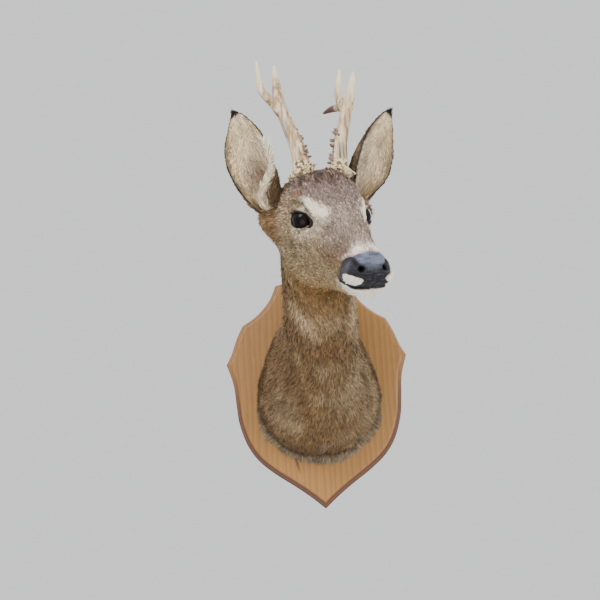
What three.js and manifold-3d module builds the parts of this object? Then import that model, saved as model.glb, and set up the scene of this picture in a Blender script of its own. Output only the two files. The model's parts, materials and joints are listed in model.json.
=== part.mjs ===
// Roe buck head and neck mounted on a shield board, life size, in millimetres.
// +Z is up, the buck faces -Y, and +X is the buck's own left side.
// The origin is on the flat back of the board, where it hangs on the wall.

import * as THREE from 'three';
import { mergeVertices } from 'three/addons/utils/BufferGeometryUtils.js';
import Module from 'manifold-3d';

const wasm = await Module();
wasm.setup();

// ---- Driving dimensions, mm and degrees -----------------------------------------------

const clearance = 0.3; // left between pieces that touch

const boardThickness = 20;
const boardSquareEdge = 9; // plain side of the board, behind the moulding
const boardTipDrop = 160; // the board's lower tip below the origin
const boardBeakHalfWidth = 127;
const boardHeight = 320;

const neckBaseTop = 124;
const neckBaseBottom = -95;

const headPitch = 29.2; // the head hangs this far below the horizontal
const headYaw = 17.6; // turned to the buck's own left
const headRoll = 7.1; // its own left side raised
const headShift = 6; // sideways lean of the top of the neck
const eyeLine = { y: -263.5, z: 149 }; // middle point between the eyes before the turn

const eyeRadius = 13.4;
const eyeCentre = { x: 30.9, f: 2.1, u: -4.1 };
const eyeLook = { x: 0.78, f: 0.61, u: 0.1 }; // the way the eye faces
const eyeRecess = { radius: 14.6, ahead: 11 }; // bowl between the lids

// Black leather of the nose as an ellipsoid, and the mouth line, in the head frame.
const nosePad = { f: 122, u: -46, halfWidth: 28, halfLength: 22, halfHeight: 25, sides: 18 };
const nostril = { x: 11.5, f: 119, u: -40, halfWidth: 4.5, halfLength: 9, halfHeight: 3,
  sides: 10 };
const mouthFront = { f: 135, u: -63 };
const mouthCorner = { f: 84, u: -52 };
const chinBack = { f: 68, u: -92 };
const lipGap = 0.8;

const ringSegments = 32;
const ringCounts = { face: 14, cranium: 14, neckUpper: 7, neckLower: 9 };

// ---- Colours --------------------------------------------------------------------------

function material(color, roughness, metalness = 0) {
  return new THREE.MeshStandardMaterial({ color, roughness, metalness });
}

const oak = material(0xc08a55, 0.55);
const coat = material(0x84705a, 0.95);
const throatCoat = material(0x8f7c62, 0.95);
const earCoat = material(0x9a8263, 0.95);
const noseLeather = material(0x23252b, 0.4);
const chinCoat = material(0xe6dccb, 0.9);
const antlerBone = material(0xb5a287, 0.6);
const antlerTip = material(0xdccfb4, 0.5);
const eyeGlass = material(0x0d0a09, 0.08);
const zincSteel = material(0x9b9fa3, 0.4, 0.9);

// ---- Mesh helpers ---------------------------------------------------------------------

// Skins a list of rings, each a closed loop of the same number of points, and closes the ends.
function loft(rings) {
  const count = rings[0].length;
  const positions = rings.flat().flatMap((p) => [p.x, p.y, p.z]);
  const index = [];
  for (let i = 0; i < rings.length - 1; i += 1) {
    for (let j = 0; j < count; j += 1) {
      const a = i * count + j;
      const b = i * count + ((j + 1) % count);
      index.push(a, b, b + count, a, b + count, a + count);
    }
  }
  for (const end of [0, rings.length - 1]) {
    const middle = new THREE.Vector3();
    rings[end].forEach((p) => middle.addScaledVector(p, 1 / count));
    const hub = positions.length / 3;
    positions.push(middle.x, middle.y, middle.z);
    for (let j = 0; j < count; j += 1) {
      const a = end * count + j;
      const b = end * count + ((j + 1) % count);
      index.push(...(end === 0 ? [hub, b, a] : [hub, a, b]));
    }
  }
  const geometry = new THREE.BufferGeometry();
  geometry.setAttribute('position', new THREE.Float32BufferAttribute(positions, 3));
  geometry.setIndex(index);
  return facingOut(geometry);
}

function signedVolume(geometry) {
  const p = geometry.getAttribute('position');
  const index = geometry.getIndex();
  const [a, b, c] = [new THREE.Vector3(), new THREE.Vector3(), new THREE.Vector3()];
  let total = 0;
  for (let i = 0; i < index.count; i += 3) {
    a.fromBufferAttribute(p, index.getX(i));
    b.fromBufferAttribute(p, index.getX(i + 1));
    c.fromBufferAttribute(p, index.getX(i + 2));
    total += a.dot(b.cross(c)) / 6;
  }
  return total;
}

function facingOut(geometry) {
  if (signedVolume(geometry) > 0) return geometry;
  const index = Array.from(geometry.getIndex().array);
  for (let i = 0; i < index.length; i += 3) {
    [index[i + 1], index[i + 2]] = [index[i + 2], index[i + 1]];
  }
  geometry.setIndex(index);
  return geometry;
}

function toSolid(geometry) {
  const bare = geometry.clone();
  bare.deleteAttribute('normal');
  bare.deleteAttribute('uv');
  const merged = mergeVertices(bare, 1e-4);
  return new wasm.Manifold(new wasm.Mesh({
    numProp: 3,
    vertProperties: new Float32Array(merged.getAttribute('position').array),
    triVerts: new Uint32Array(merged.getIndex().array),
  }));
}

function toGeometry(solid) {
  const mesh = solid.getMesh();
  const geometry = new THREE.BufferGeometry();
  geometry.setAttribute('position', new THREE.Float32BufferAttribute(mesh.vertProperties, 3));
  geometry.setIndex(Array.from(mesh.triVerts));
  return geometry;
}

// Catmull-Rom value at a fractional place along a list of numbers.
function along(values, place) {
  const last = values.length - 1;
  const i = Math.min(Math.floor(place), last - 1);
  const t = place - i;
  const p0 = values[Math.max(i - 1, 0)];
  const [p1, p2] = [values[i], values[i + 1]];
  const p3 = values[Math.min(i + 2, last)];
  const slope1 = (p2 - p0) / 2;
  const slope2 = (p3 - p1) / 2;
  const t2 = t * t;
  const t3 = t2 * t;
  return (2 * t3 - 3 * t2 + 1) * p1 + (t3 - 2 * t2 + t) * slope1
    + (3 * t2 - 2 * t3) * p2 + (t3 - t2) * slope2;
}

function smooth(low, high, value) {
  const t = Math.min(Math.max((value - low) / (high - low), 0), 1);
  return t * t * (3 - 2 * t);
}

// ---- Head frame -----------------------------------------------------------------------
// A point of the head is given as x sideways, f forward along the muzzle and u upward,
// from the middle point between the eyes.

const pitchCos = Math.cos(THREE.MathUtils.degToRad(headPitch));
const pitchSin = Math.sin(THREE.MathUtils.degToRad(headPitch));

function straight(x, f, u) {
  return new THREE.Vector3(
    x,
    eyeLine.y - f * pitchCos - u * pitchSin,
    eyeLine.z - f * pitchSin + u * pitchCos,
  );
}

const rollAxis = new THREE.Vector3(0, -pitchCos, -pitchSin);
const upAxis = new THREE.Vector3(0, 0, 1);

// Turns a point with the head about a pivot; weight and lean run from 0 on the board to 1 on
// the head.
function turned(point, weight, pivot, lean = weight) {
  const p = point.clone().sub(pivot);
  p.applyAxisAngle(rollAxis, THREE.MathUtils.degToRad(headRoll * weight));
  p.applyAxisAngle(upAxis, THREE.MathUtils.degToRad(headYaw * weight));
  p.add(pivot);
  p.x += headShift * lean;
  return p;
}

const poll = new THREE.Vector3(0, -202, 150); // where the head turns on the neck

function headPoint(x, f, u) {
  return turned(straight(x, f, u), 1, poll);
}

// ---- Head and neck sections -------------------------------------------------------------
// Each section is a closed ring in the plane of a top point and an underside point:
// [top f, top u, underside f, underside u, half width, height of the widest line,
//  squareness above it, squareness below it]. The first rows are in the head frame.

const headSections = [
  [121.0, -38, 119, -52, 9, 0.5, 2.0, 2.0],
  [118.0, -30, 113, -62, 17, 0.5, 2.2, 2.1],
  [112.0, -23, 104, -69, 20.5, 0.5, 2.3, 2.1],
  [98.0, -14, 90, -71, 21.5, 0.5, 2.3, 2.1],
  [80.0, -4, 70, -74, 24, 0.52, 2.2, 2.1],
  [60.0, 6, 46, -76, 28, 0.56, 2.2, 2.0],
  [40.0, 16, 25, -79, 33.5, 0.62, 2.3, 1.9],
  [20.0, 25, 6, -81, 38.5, 0.68, 2.5, 1.8],
  [2.0, 34, -10, -84, 42, 0.7, 2.6, 1.8],
  [-16.0, 42, -23, -87, 44.5, 0.68, 2.5, 1.9],
  [-36.0, 47, -32, -90, 45.5, 0.64, 2.4, 2.0],
  [-58.0, 46, -38, -92, 46.5, 0.6, 2.2, 2.0],
  [-78.0, 39, -42, -93, 46, 0.55, 2.1, 2.0],
];

// The neck rows hold [top y, top z, underside y, underside z, ...] in the board's frame.
const neckSections = [
  [-184, 215, -187, 74, 45, 0.5, 2.0, 2.0],
  [-156, 203, -188, 54, 43.5, 0.48, 2.0, 2.0],
  [-124, 186, -186, 28, 46, 0.46, 2.0, 2.0],
  [-94, 169, -174, -3, 46.5, 0.44, 2.0, 2.1],
  [-68, 153, -152, -34, 48.5, 0.39, 1.9, 2.1],
  [-46, 140, -120, -62, 60, 0.36, 1.65, 2.2],
  [-32, 131, -76, -87, 75, 0.32, 1.65, 2.2],
  [-boardThickness - clearance, neckBaseTop, -boardThickness - clearance, neckBaseBottom,
    84, 0.36, 1.6, 2.0],
];

const sections = [
  ...headSections.map(([tf, tu, bf, bu, ...rest]) => {
    const top = straight(0, tf, tu);
    const under = straight(0, bf, bu);
    return [top.y, top.z, under.y, under.z, ...rest];
  }),
  ...neckSections,
];
const columns = sections[0].map((_, k) => sections.map((row) => row[k]));
const lastPlace = sections.length - 1;
const turnStart = headSections.length + 0.5; // the head's turn is complete above this place
const leanStart = turnStart + 2.5; // its sideways lean reaches further down the neck

// Raised and hollow places of the head: [x, f, u, radius, height], on both sides.
const swells = [
  [42, 1, 9, 13, -5.5], // hollow over the eye
  [40, -2, -18, 13, 2], // cheek bone under the eye
  [42, -34, -40, 26, 4], // jaw muscle
  [48, -56, -7, 24, 14], // root of the ear
  [57, -58, -4, 13, 5.5], // muscle at the foot of the ear
  [36, 24, -1, 11, -5], // hollow in front of the eye
  [27, 48, -9, 15, -9.5], // flank of the bridge of the nose
  [18, 80, -18, 14, -6.5], // narrow bridge over the cheek
  [13, 99, -22, 11, -3], // dip behind the nose pad
  [20, 110, -42, 9, 1], // wing of the nostril
];

function headCoordinates(point) {
  const back = point.y - eyeLine.y;
  const rise = point.z - eyeLine.z;
  return { f: -back * pitchCos - rise * pitchSin, u: -back * pitchSin + rise * pitchCos };
}

function swellAt(point) {
  const { f, u } = headCoordinates(point);
  let height = 0;
  for (const [sx, sf, su, radius, amount] of swells) {
    const distance2 = (Math.abs(point.x) - sx) ** 2 + (f - sf) ** 2 + (u - su) ** 2;
    height += amount * Math.exp(-distance2 / (radius * radius));
  }
  return height;
}

// One ring of the body at a place along the sections, grown outward and shifted along the body.
function bodyRing(place, grow = 0, shift = 0) {
  const [topY, topZ, underY, underZ, half, level, squareTop, squareLow] =
    columns.map((values) => along(values, place));
  const up = new THREE.Vector3(0, topY - underY, topZ - underZ);
  const depth = up.length();
  up.normalize();
  const ahead = new THREE.Vector3(0, -up.z, up.y);
  const centre = new THREE.Vector3(0, underY, underZ).addScaledVector(up, level * depth);
  const weight = 1 - smooth(turnStart, lastPlace, place);
  const lean = 1 - smooth(leanStart, lastPlace, place);
  const pivot = poll.clone().lerp(centre, smooth(turnStart - 1, turnStart + 2, place));
  const ring = [];
  for (let j = 0; j < ringSegments; j += 1) {
    const angle = (2 * Math.PI * j) / ringSegments;
    const [c, s] = [Math.cos(angle), Math.sin(angle)];
    const power = 2 / (c >= 0 ? squareTop : squareLow);
    const across = half * Math.sign(s) * Math.abs(s) ** power;
    const reach = (c >= 0 ? 1 - level : -level) * depth * Math.abs(c) ** power;
    const offset = new THREE.Vector3(across, 0, 0).addScaledVector(up, reach);
    const outward = offset.clone().normalize();
    const point = centre.clone().add(offset);
    point.addScaledVector(outward, swellAt(point) + grow);
    point.addScaledVector(ahead, shift);
    ring.push(turned(point, weight, pivot, lean));
  }
  return ring;
}

function bodyStretch(from, to, ringCount, grow = 0) {
  const rings = [];
  for (let i = 0; i < ringCount; i += 1) {
    const place = from + ((to - from) * i) / (ringCount - 1);
    const shift = i === 0 && from > 0 ? -clearance / 2 : 0;
    const endShift = i === ringCount - 1 && to < lastPlace ? clearance / 2 : 0;
    rings.push(bodyRing(place, grow, shift + endShift));
  }
  return toSolid(loft(rings));
}

// ---- Small solids -----------------------------------------------------------------------

function ball(centre, radius) {
  const geometry = new THREE.SphereGeometry(radius, 14, 10);
  geometry.translate(centre.x, centre.y, centre.z);
  return geometry;
}

// A tapering rod along a smooth curve: points as [x, y, z, radius].
function taperedRod(points, ringCount, sides) {
  const cols = points[0].map((_, k) => points.map((row) => row[k]));
  const place = (t) => cols.map((values) => along(values, t * (points.length - 1)));
  const rings = [];
  let side = new THREE.Vector3(1, 0, 0);
  for (let i = 0; i < ringCount; i += 1) {
    const t = i / (ringCount - 1);
    const [x, y, z, radius] = place(t);
    const ahead = new THREE.Vector3(...place(Math.min(t + 0.01, 1)).slice(0, 3))
      .sub(new THREE.Vector3(...place(Math.max(t - 0.01, 0)).slice(0, 3))).normalize();
    side = side.clone().addScaledVector(ahead, -side.dot(ahead)).normalize();
    const other = new THREE.Vector3().crossVectors(ahead, side);
    const ring = [];
    for (let j = 0; j < sides; j += 1) {
      const angle = (2 * Math.PI * j) / sides;
      ring.push(new THREE.Vector3(x, y, z)
        .addScaledVector(side, radius * Math.cos(angle))
        .addScaledVector(other, radius * Math.sin(angle)));
    }
    rings.push(ring);
  }
  return loft(rings);
}

// ---- Assembly ---------------------------------------------------------------------------

const group = new THREE.Group();

function add(name, geometry, finish) {
  const mesh = new THREE.Mesh(geometry, finish);
  mesh.name = name;
  group.add(mesh);
  return mesh;
}

// ---- Shield board -------------------------------------------------------------------------
// Half outline as [half width, height above the lower tip].

const lowerCurve = [
  [0, 0], [20, 16.5], [40, 31], [65, 48], [86, 66], [101, 88], [111, 117], [114.5, 143], [118, 172],
  [boardBeakHalfWidth, 200],
];
const beakCurve = [[boardBeakHalfWidth, 200], [119, 216], [112, 236], [103, 255]];
const scoopCurve = [[103, 255], [86, 266], [72, 279], [61, 294], [53, 313]];
const topCurve = [[53, 313], [27, 318], [0, boardHeight]];

function curvePoints(list, count) {
  const cols = [0, 1].map((k) => list.map((row) => row[k]));
  const points = [];
  for (let i = 0; i < count; i += 1) {
    const place = (i * (list.length - 1)) / count;
    points.push(new THREE.Vector2(...cols.map((values) => along(values, place))));
  }
  return points;
}

function boardOutline() {
  const half = [
    ...curvePoints(lowerCurve, 18),
    ...curvePoints(beakCurve, 4),
    ...curvePoints(scoopCurve, 6),
    ...curvePoints(topCurve, 3),
    new THREE.Vector2(0, boardHeight),
  ];
  const mirrored = half.slice(1, -1).reverse().map((p) => new THREE.Vector2(-p.x, p.y));
  return [...half, ...mirrored].map((p) => new THREE.Vector2(p.x, p.y - boardTipDrop));
}

// Moves every side of a counter-clockwise outline inward by the same distance.
function inset(outline, distance) {
  const count = outline.length;
  return outline.map((point, i) => {
    const before = outline[(i + count - 1) % count];
    const after = outline[(i + 1) % count];
    const d1 = point.clone().sub(before).normalize();
    const d2 = after.clone().sub(point).normalize();
    const n1 = new THREE.Vector2(-d1.y, d1.x);
    const n2 = new THREE.Vector2(-d2.y, d2.x);
    const mitre = n1.clone().add(n2).normalize();
    return point.clone().addScaledVector(mitre, distance / Math.max(mitre.dot(n1), 0.35));
  });
}

// Moulded edge as [inset, depth from the back]: square side, quirk, then a quarter round.
const moulding = [[0, 0], [0, boardSquareEdge], [1.6, boardSquareEdge + 1.2]];
const mouldingRound = { inset: 7.5, rise: boardThickness - boardSquareEdge - 1.2, steps: 3 };
for (let i = 1; i <= mouldingRound.steps; i += 1) {
  const angle = (Math.PI / 2) * (i / mouldingRound.steps);
  moulding.push([
    1.6 + mouldingRound.inset * (1 - Math.cos(angle)),
    boardSquareEdge + 1.2 + mouldingRound.rise * Math.sin(angle),
  ]);
}

function boardSolid() {
  const outline = boardOutline();
  const count = outline.length;
  const positions = [];
  const index = [];
  for (const [distance, depth] of moulding) {
    for (const p of inset(outline, distance)) positions.push(p.x, -depth, p.y);
  }
  for (let i = 0; i < moulding.length - 1; i += 1) {
    for (let j = 0; j < count; j += 1) {
      const a = i * count + j;
      const b = i * count + ((j + 1) % count);
      index.push(a, b + count, b, a, a + count, b + count);
    }
  }
  const last = moulding.length - 1;
  const faces = [[0, inset(outline, moulding[0][0])], [last, inset(outline, moulding[last][0])]];
  for (const [level, loop] of faces) {
    for (const [a, b, c] of THREE.ShapeUtils.triangulateShape(loop, [])) {
      const base = level * count;
      index.push(base + a, ...(level === 0 ? [base + b, base + c] : [base + c, base + b]));
    }
  }
  const geometry = new THREE.BufferGeometry();
  geometry.setAttribute('position', new THREE.Float32BufferAttribute(positions, 3));
  geometry.setIndex(index);
  return toSolid(facingOut(geometry));
}

// ---- Screws through the back of the board ---------------------------------------------------

const screw = { headRadius: 5, headDepth: 3.5, sides: 16 };
const screwPlaces = [[-38, 52], [38, 52], [0, -62]];

function screwCylinder(x, z, radius, from, to) {
  const geometry = new THREE.CylinderGeometry(radius, radius, to - from, screw.sides);
  geometry.translate(x, -(from + to) / 2, z);
  return geometry;
}

let board = boardSolid();
screwPlaces.forEach(([x, z], i) => {
  board = board.subtract(toSolid(
    screwCylinder(x, z, screw.headRadius + clearance, -1, screw.headDepth + 0.5 + clearance)));
  add(`board_screw_${i + 1}`, screwCylinder(x, z, screw.headRadius, 0.5, 0.5 + screw.headDepth), zincSteel);
});
add('shield_board', toGeometry(board), oak);

// ---- Antlers ----------------------------------------------------------------------------
// Each beam and tine is a list of [x, y, z, radius] from its root to its tip.

const antlers = {
  right: {
    burr: { x: -8, y: -254, z: 206, radius: 17, tiltX: 14, tiltY: -26 },
    beam: [[-6, -250, 188, 10], [-7, -253, 205, 10.5], [-8, -253, 222, 9], [-12, -252, 243, 8],
      [-18, -250, 262, 7.4], [-23, -248, 280, 7.2], [-27, -246, 296, 7.4]],
    tines: {
      front: [[-26, -248, 284, 6], [-34, -251, 296, 5.6], [-42, -254, 304, 4.8],
        [-49, -255, 315, 4.2], [-51, -255, 332, 3.4], [-53, -253, 355, 1.4]],
      main: [[-27, -246, 292, 7], [-30, -242, 316, 6], [-31, -238, 332, 5], [-32, -234, 348, 3.8],
        [-33, -231, 364, 1.4]],
    },
  },
  left: {
    burr: { x: 36, y: -240, z: 212, radius: 16.5, tiltX: 14, tiltY: 14 },
    beam: [[34, -236, 192, 10], [36, -240, 210, 10.5], [37, -240, 226, 9], [39, -240, 246, 8],
      [44, -239, 266, 7.2], [48, -238, 284, 7], [51, -238, 298, 7.4]],
    tines: {
      front: [[51, -239, 292, 6.6], [54, -243, 304, 6], [57, -247, 316, 5], [59, -250, 325, 3.8],
        [60, -251, 334, 1.4]],
      main: [[50, -236, 292, 6], [47, -228, 304, 5.6], [44, -222, 318, 5], [44, -219, 334, 4.2],
        [46, -217, 350, 3.4], [48, -216, 364, 1.4]],
      rear: [[46, -226, 303, 5], [40, -218, 308, 4.4], [33, -212, 310, 3.6], [24, -208, 308, 1.2]],
    },
  },
};

// ---- Ears ---------------------------------------------------------------------------------
// Rows from root to tip: [share of length, radius of the cup, half angle of the cup, thickness].
// turn: degrees by which the lower part of the cup is rolled toward its outer side.

const earRows = [
  [0.0, 15, 162, 3.6], [0.1, 18.5, 144, 3.4], [0.22, 22.5, 120, 3.2], [0.36, 25.5, 98, 3],
  [0.52, 26.5, 86, 2.8], [0.68, 25, 74, 2.6], [0.82, 20, 62, 2.4], [0.93, 13, 54, 2.1],
  [1.0, 4.5, 48, 1.4],
];
const earArc = 9;

function earSolid({ root, tip, faces, bow, inward, turn }) {
  const start = new THREE.Vector3(...root);
  const end = new THREE.Vector3(...tip);
  const axis = end.clone().sub(start).normalize();
  const open = new THREE.Vector3(...faces);
  open.addScaledVector(axis, -open.dot(axis)).normalize();
  const side = new THREE.Vector3().crossVectors(axis, open);
  const rings = earRows.map(([share, radius, halfAngle, thickness]) => {
    const ridge = start.clone().lerp(end, share).addScaledVector(open, -bow * Math.sin(Math.PI * share));
    ridge.x += inward * Math.exp(-share * 12);
    const arc = (r, lift, angle) => ridge.clone()
      .addScaledVector(open, lift + r * (1 - Math.cos(angle)))
      .addScaledVector(side, r * Math.sin(angle));
    const limit = THREE.MathUtils.degToRad(halfAngle);
    const twist = THREE.MathUtils.degToRad(turn) * (1 - smooth(-0.1, 0.38, share));
    const outer = [];
    const inner = [];
    for (let j = 0; j < earArc; j += 1) {
      const angle = -limit + (2 * limit * j) / (earArc - 1) + twist;
      outer.push(arc(radius, 0, angle));
      inner.push(arc(radius - thickness, thickness, angle));
    }
    return [...outer, ...inner.reverse()];
  });
  return toSolid(loft(rings));
}

const ears = {
  right: {
    root: [-42, -222, 174], tip: [-81, -236, 297], faces: [-0.4, -0.9, 0.1], bow: 4, inward: 8, turn: 62,
  },
  left: {
    root: [37, -187, 191], tip: [103, -212, 303], faces: [0.72, -0.68, 0.1], bow: 3, inward: -6, turn: 0,
  },
};

// ---- Head, cut round what it carries --------------------------------------------------------

const neckCut = headSections.length + 2.5;
const throatCut = headSections.length - 0.5;
const faceCut = 6.5;

let face = bodyStretch(0, faceCut, ringCounts.face);
let cranium = bodyStretch(faceCut, throatCut, ringCounts.cranium);
const neckUpper = bodyStretch(throatCut, neckCut, ringCounts.neckUpper);
const neckLower = bodyStretch(neckCut, lastPlace, ringCounts.neckLower);
const grownHead = bodyStretch(0, faceCut, ringCounts.face, 2 * clearance)
  .add(bodyStretch(faceCut, throatCut, ringCounts.cranium, 2 * clearance))
  .add(bodyStretch(throatCut, neckCut, ringCounts.neckUpper, 2 * clearance));

// Places a shape drawn with x sideways, y forward and z up from between the eyes.
function onHead(geometry) {
  const place = geometry.getAttribute('position');
  for (let i = 0; i < place.count; i += 1) {
    const p = headPoint(place.getX(i), place.getY(i), place.getZ(i));
    place.setXYZ(i, p.x, p.y, p.z);
  }
  return toSolid(facingOut(mergeVertices(dropExtras(geometry), 1e-4)));
}

function dropExtras(geometry) {
  geometry.deleteAttribute('normal');
  geometry.deleteAttribute('uv');
  return geometry;
}

function ellipsoid({ x = 0, f, u, halfWidth, halfLength, halfHeight, sides }, grow = 0) {
  const geometry = new THREE.SphereGeometry(1, sides, Math.round(sides * 0.7));
  geometry.scale(halfWidth + grow, halfLength + grow, halfHeight + grow);
  geometry.translate(x, f, u);
  return onHead(geometry);
}

// Everything under the mouth line and ahead of the chin's back, lowered by drop.
function underMouth(drop) {
  const far = 40;
  const outline = [
    [mouthFront.f, mouthFront.u - drop], [mouthCorner.f + drop, mouthCorner.u - drop],
    [chinBack.f + drop, chinBack.u], [mouthFront.f, chinBack.u - far],
  ];
  const shape = new THREE.Shape(outline.map(([f, u]) => new THREE.Vector2(f, u)));
  const geometry = new THREE.ExtrudeGeometry(shape, { depth: 2 * far, bevelEnabled: false });
  geometry.translate(0, 0, -far);
  geometry.applyMatrix4(new THREE.Matrix4().set(0, 0, 1, 0, 1, 0, 0, 0, 0, 1, 0, 0, 0, 0, 0, 1));
  return onHead(geometry);
}

const chin = face.intersect(underMouth(lipGap));
face = face.subtract(underMouth(0));
let nose = face.intersect(ellipsoid(nosePad));
face = face.subtract(ellipsoid(nosePad, clearance));
for (const sign of [1, -1]) nose = nose.subtract(ellipsoid({ ...nostril, x: sign * nostril.x }));
add('nose_pad', toGeometry(nose), noseLeather);
add('chin', toGeometry(chin), chinCoat);

for (const [side, sign] of [['left', 1], ['right', -1]]) {
  const centre = headPoint(sign * eyeCentre.x, eyeCentre.f, eyeCentre.u);
  const look = headPoint(
    sign * (eyeCentre.x + eyeRecess.ahead * eyeLook.x),
    eyeCentre.f + eyeRecess.ahead * eyeLook.f,
    eyeCentre.u + eyeRecess.ahead * eyeLook.u,
  );
  const socket = toSolid(ball(centre, eyeRadius + clearance)).add(toSolid(ball(look, eyeRecess.radius)));
  cranium = cranium.subtract(socket);
  face = face.subtract(socket);
  add(`eye_${side}`, ball(centre, eyeRadius), eyeGlass);
}

for (const [side, ear] of Object.entries(ears)) {
  add(`ear_${side}`, toGeometry(largestPiece(earSolid(ear).subtract(grownHead))), earCoat);
}

// The head leaves a small chip of the tube's end on its far side; the ear is the large piece.
function largestPiece(solid) {
  const pieces = solid.decompose();
  return pieces.reduce((best, piece) => (piece.volume() > best.volume() ? piece : best));
}

function burrSolid({ x, y, z, radius, tiltX, tiltY }) {
  const profile = [[0, -8], [0.62, -8], [0.84, -4], [1, -1.2], [0.96, 1], [0.74, 2.8], [0, 4]]
    .map(([r, h]) => new THREE.Vector2(r * radius, h));
  const geometry = new THREE.LatheGeometry(profile, 22);
  const place = geometry.getAttribute('position');
  for (let i = 0; i < place.count; i += 1) {
    const angle = Math.atan2(place.getZ(i), place.getX(i));
    const knob = 1 + 0.06 * Math.sin(5 * angle) + 0.05 * Math.cos(8 * angle);
    place.setXYZ(i, place.getX(i) * knob, place.getY(i), place.getZ(i) * knob);
  }
  geometry.rotateX(Math.PI / 2);
  geometry.rotateX(THREE.MathUtils.degToRad(tiltX));
  geometry.rotateY(THREE.MathUtils.degToRad(tiltY));
  geometry.translate(x, y, z);
  return toSolid(facingOut(mergeVertices(dropExtras(geometry), 1e-4)));
}

for (const [side, antler] of Object.entries(antlers)) {
  let beam = toSolid(taperedRod(antler.beam, 11, 10)).add(burrSolid(antler.burr));
  beam = beam.subtract(grownHead);
  let taken = beam;
  add(`antler_${side}_beam`, toGeometry(beam), antlerBone);
  for (const [tine, points] of Object.entries(antler.tines)) {
    const solid = toSolid(taperedRod(points, 9, 8)).subtract(taken);
    add(`antler_${side}_${tine}_tine`, toGeometry(solid), antlerTip);
    taken = taken.add(solid);
  }
}

add('head_face', toGeometry(face), coat);
add('head_cranium', toGeometry(cranium), coat);
add('neck_upper', toGeometry(neckUpper), throatCoat);
add('neck_lower', toGeometry(neckLower), coat);

export default group;
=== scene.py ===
# %% [markdown]
# # Roe buck shoulder mount on its shield board
# The mount is a tanned skin drawn over a carved form: head, ears and neck are one skin,
# with short hair all over it. Glass eyes, the leather of the nose, the real antlers and
# the oak shield are pieces of their own.
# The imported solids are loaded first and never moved. Everything made here is drawn round
# them in the same frame, so each table of sizes below is in millimetres from the middle
# of the board's back, with the buck facing -Y.

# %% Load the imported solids
import json
import math

import bmesh
import bpy
import numpy as np
from mathutils import Matrix, Vector

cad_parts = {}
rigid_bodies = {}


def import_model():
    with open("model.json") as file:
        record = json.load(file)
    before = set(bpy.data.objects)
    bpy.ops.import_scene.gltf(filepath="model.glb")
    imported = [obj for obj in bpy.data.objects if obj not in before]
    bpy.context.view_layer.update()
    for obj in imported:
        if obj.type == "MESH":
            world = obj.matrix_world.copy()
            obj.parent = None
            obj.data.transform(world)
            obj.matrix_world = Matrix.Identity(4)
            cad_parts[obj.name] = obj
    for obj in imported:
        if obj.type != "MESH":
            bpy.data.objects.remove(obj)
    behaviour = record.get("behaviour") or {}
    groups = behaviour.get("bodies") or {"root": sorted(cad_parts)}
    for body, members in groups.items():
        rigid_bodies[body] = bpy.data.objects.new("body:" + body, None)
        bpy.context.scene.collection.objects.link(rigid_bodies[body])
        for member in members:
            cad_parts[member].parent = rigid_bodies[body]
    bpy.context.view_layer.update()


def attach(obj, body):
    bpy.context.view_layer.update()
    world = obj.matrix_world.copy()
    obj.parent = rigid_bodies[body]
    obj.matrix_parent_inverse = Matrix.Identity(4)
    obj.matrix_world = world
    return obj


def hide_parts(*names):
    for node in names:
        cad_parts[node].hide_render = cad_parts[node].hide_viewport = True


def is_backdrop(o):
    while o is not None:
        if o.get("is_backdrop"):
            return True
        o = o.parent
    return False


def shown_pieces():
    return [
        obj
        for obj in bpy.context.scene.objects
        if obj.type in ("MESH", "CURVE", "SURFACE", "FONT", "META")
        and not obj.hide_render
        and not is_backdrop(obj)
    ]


for leftover in list(bpy.data.objects):
    bpy.data.objects.remove(leftover)
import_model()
MM = 0.001

# %% [markdown]
# ## Camera
# The mount hangs above the viewer, who stands close and looks up. The camera's turn is built
# from three axes (right, up, back), which keeps the small roll of a hand-held view.

# %% Camera
EYE_PLACE = Vector((-0.018, -0.9, -0.133))
FOCAL_PIXELS, PICTURE_PIXELS, SENSOR = 640, 600, 36.0
UPRIGHTS_MEET = 2173  # pixels above the picture's middle where upright edges would meet
LOOK_UP = math.atan(FOCAL_PIXELS / UPRIGHTS_MEET)
HAND_ROLL = math.radians(3.4)


def put_in(name, data):
    """A new object for the data, linked to the scene."""
    made = bpy.data.objects.new(name, data)
    bpy.context.scene.collection.objects.link(made)
    return made


ahead = Vector((0, math.cos(LOOK_UP), math.sin(LOOK_UP)))
level, upright = Vector((1, 0, 0)), Vector((0, -math.sin(LOOK_UP), math.cos(LOOK_UP)))
right = math.cos(HAND_ROLL) * level - math.sin(HAND_ROLL) * upright
up = math.cos(HAND_ROLL) * upright + math.sin(HAND_ROLL) * level
camera_data = bpy.data.cameras.new("viewer")
camera_data.sensor_width = SENSOR
camera_data.lens = SENSOR * FOCAL_PIXELS / PICTURE_PIXELS
camera = put_in("viewer", camera_data)
turn = Matrix((right, up, -ahead)).transposed().to_4x4()
camera.matrix_world = Matrix.Translation(EYE_PLACE) @ turn
bpy.context.scene.camera = camera
print("lens", round(camera_data.lens, 1), "mm")

# %% [markdown]
# ## Light and floor
# Hair shows its lie only when one soft light comes from above and one side, with a weaker
# one opposite. A pale world fills the rest, and the floor is far below a hanging board.

# %% Light and floor
LIT_SPOT = (0.0, -0.2, 0.1)
LIGHTS = [  # name, place and size in metres, watts, tint
    ("key_light", (-0.9, -1.7, 1.2), 1.1, 30, (1.0, 0.985, 0.96)),
    ("fill_light", (1.4, -1.5, 0.0), 1.4, 24, (1.0, 0.99, 0.97)),
    ("low_light", (-0.5, -1.6, -0.9), 1.4, 11, (1.0, 0.98, 0.95)),
    ("back_light", (0.6, 1.4, 1.2), 1.2, 12, (1.0, 1.0, 1.0)),
]
ROOM_TINT, ROOM_GLOW = (0.86, 0.87, 0.88), 1.12
FLOOR_LEVEL, FLOOR_RADIUS = -1.6, 7.0


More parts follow.
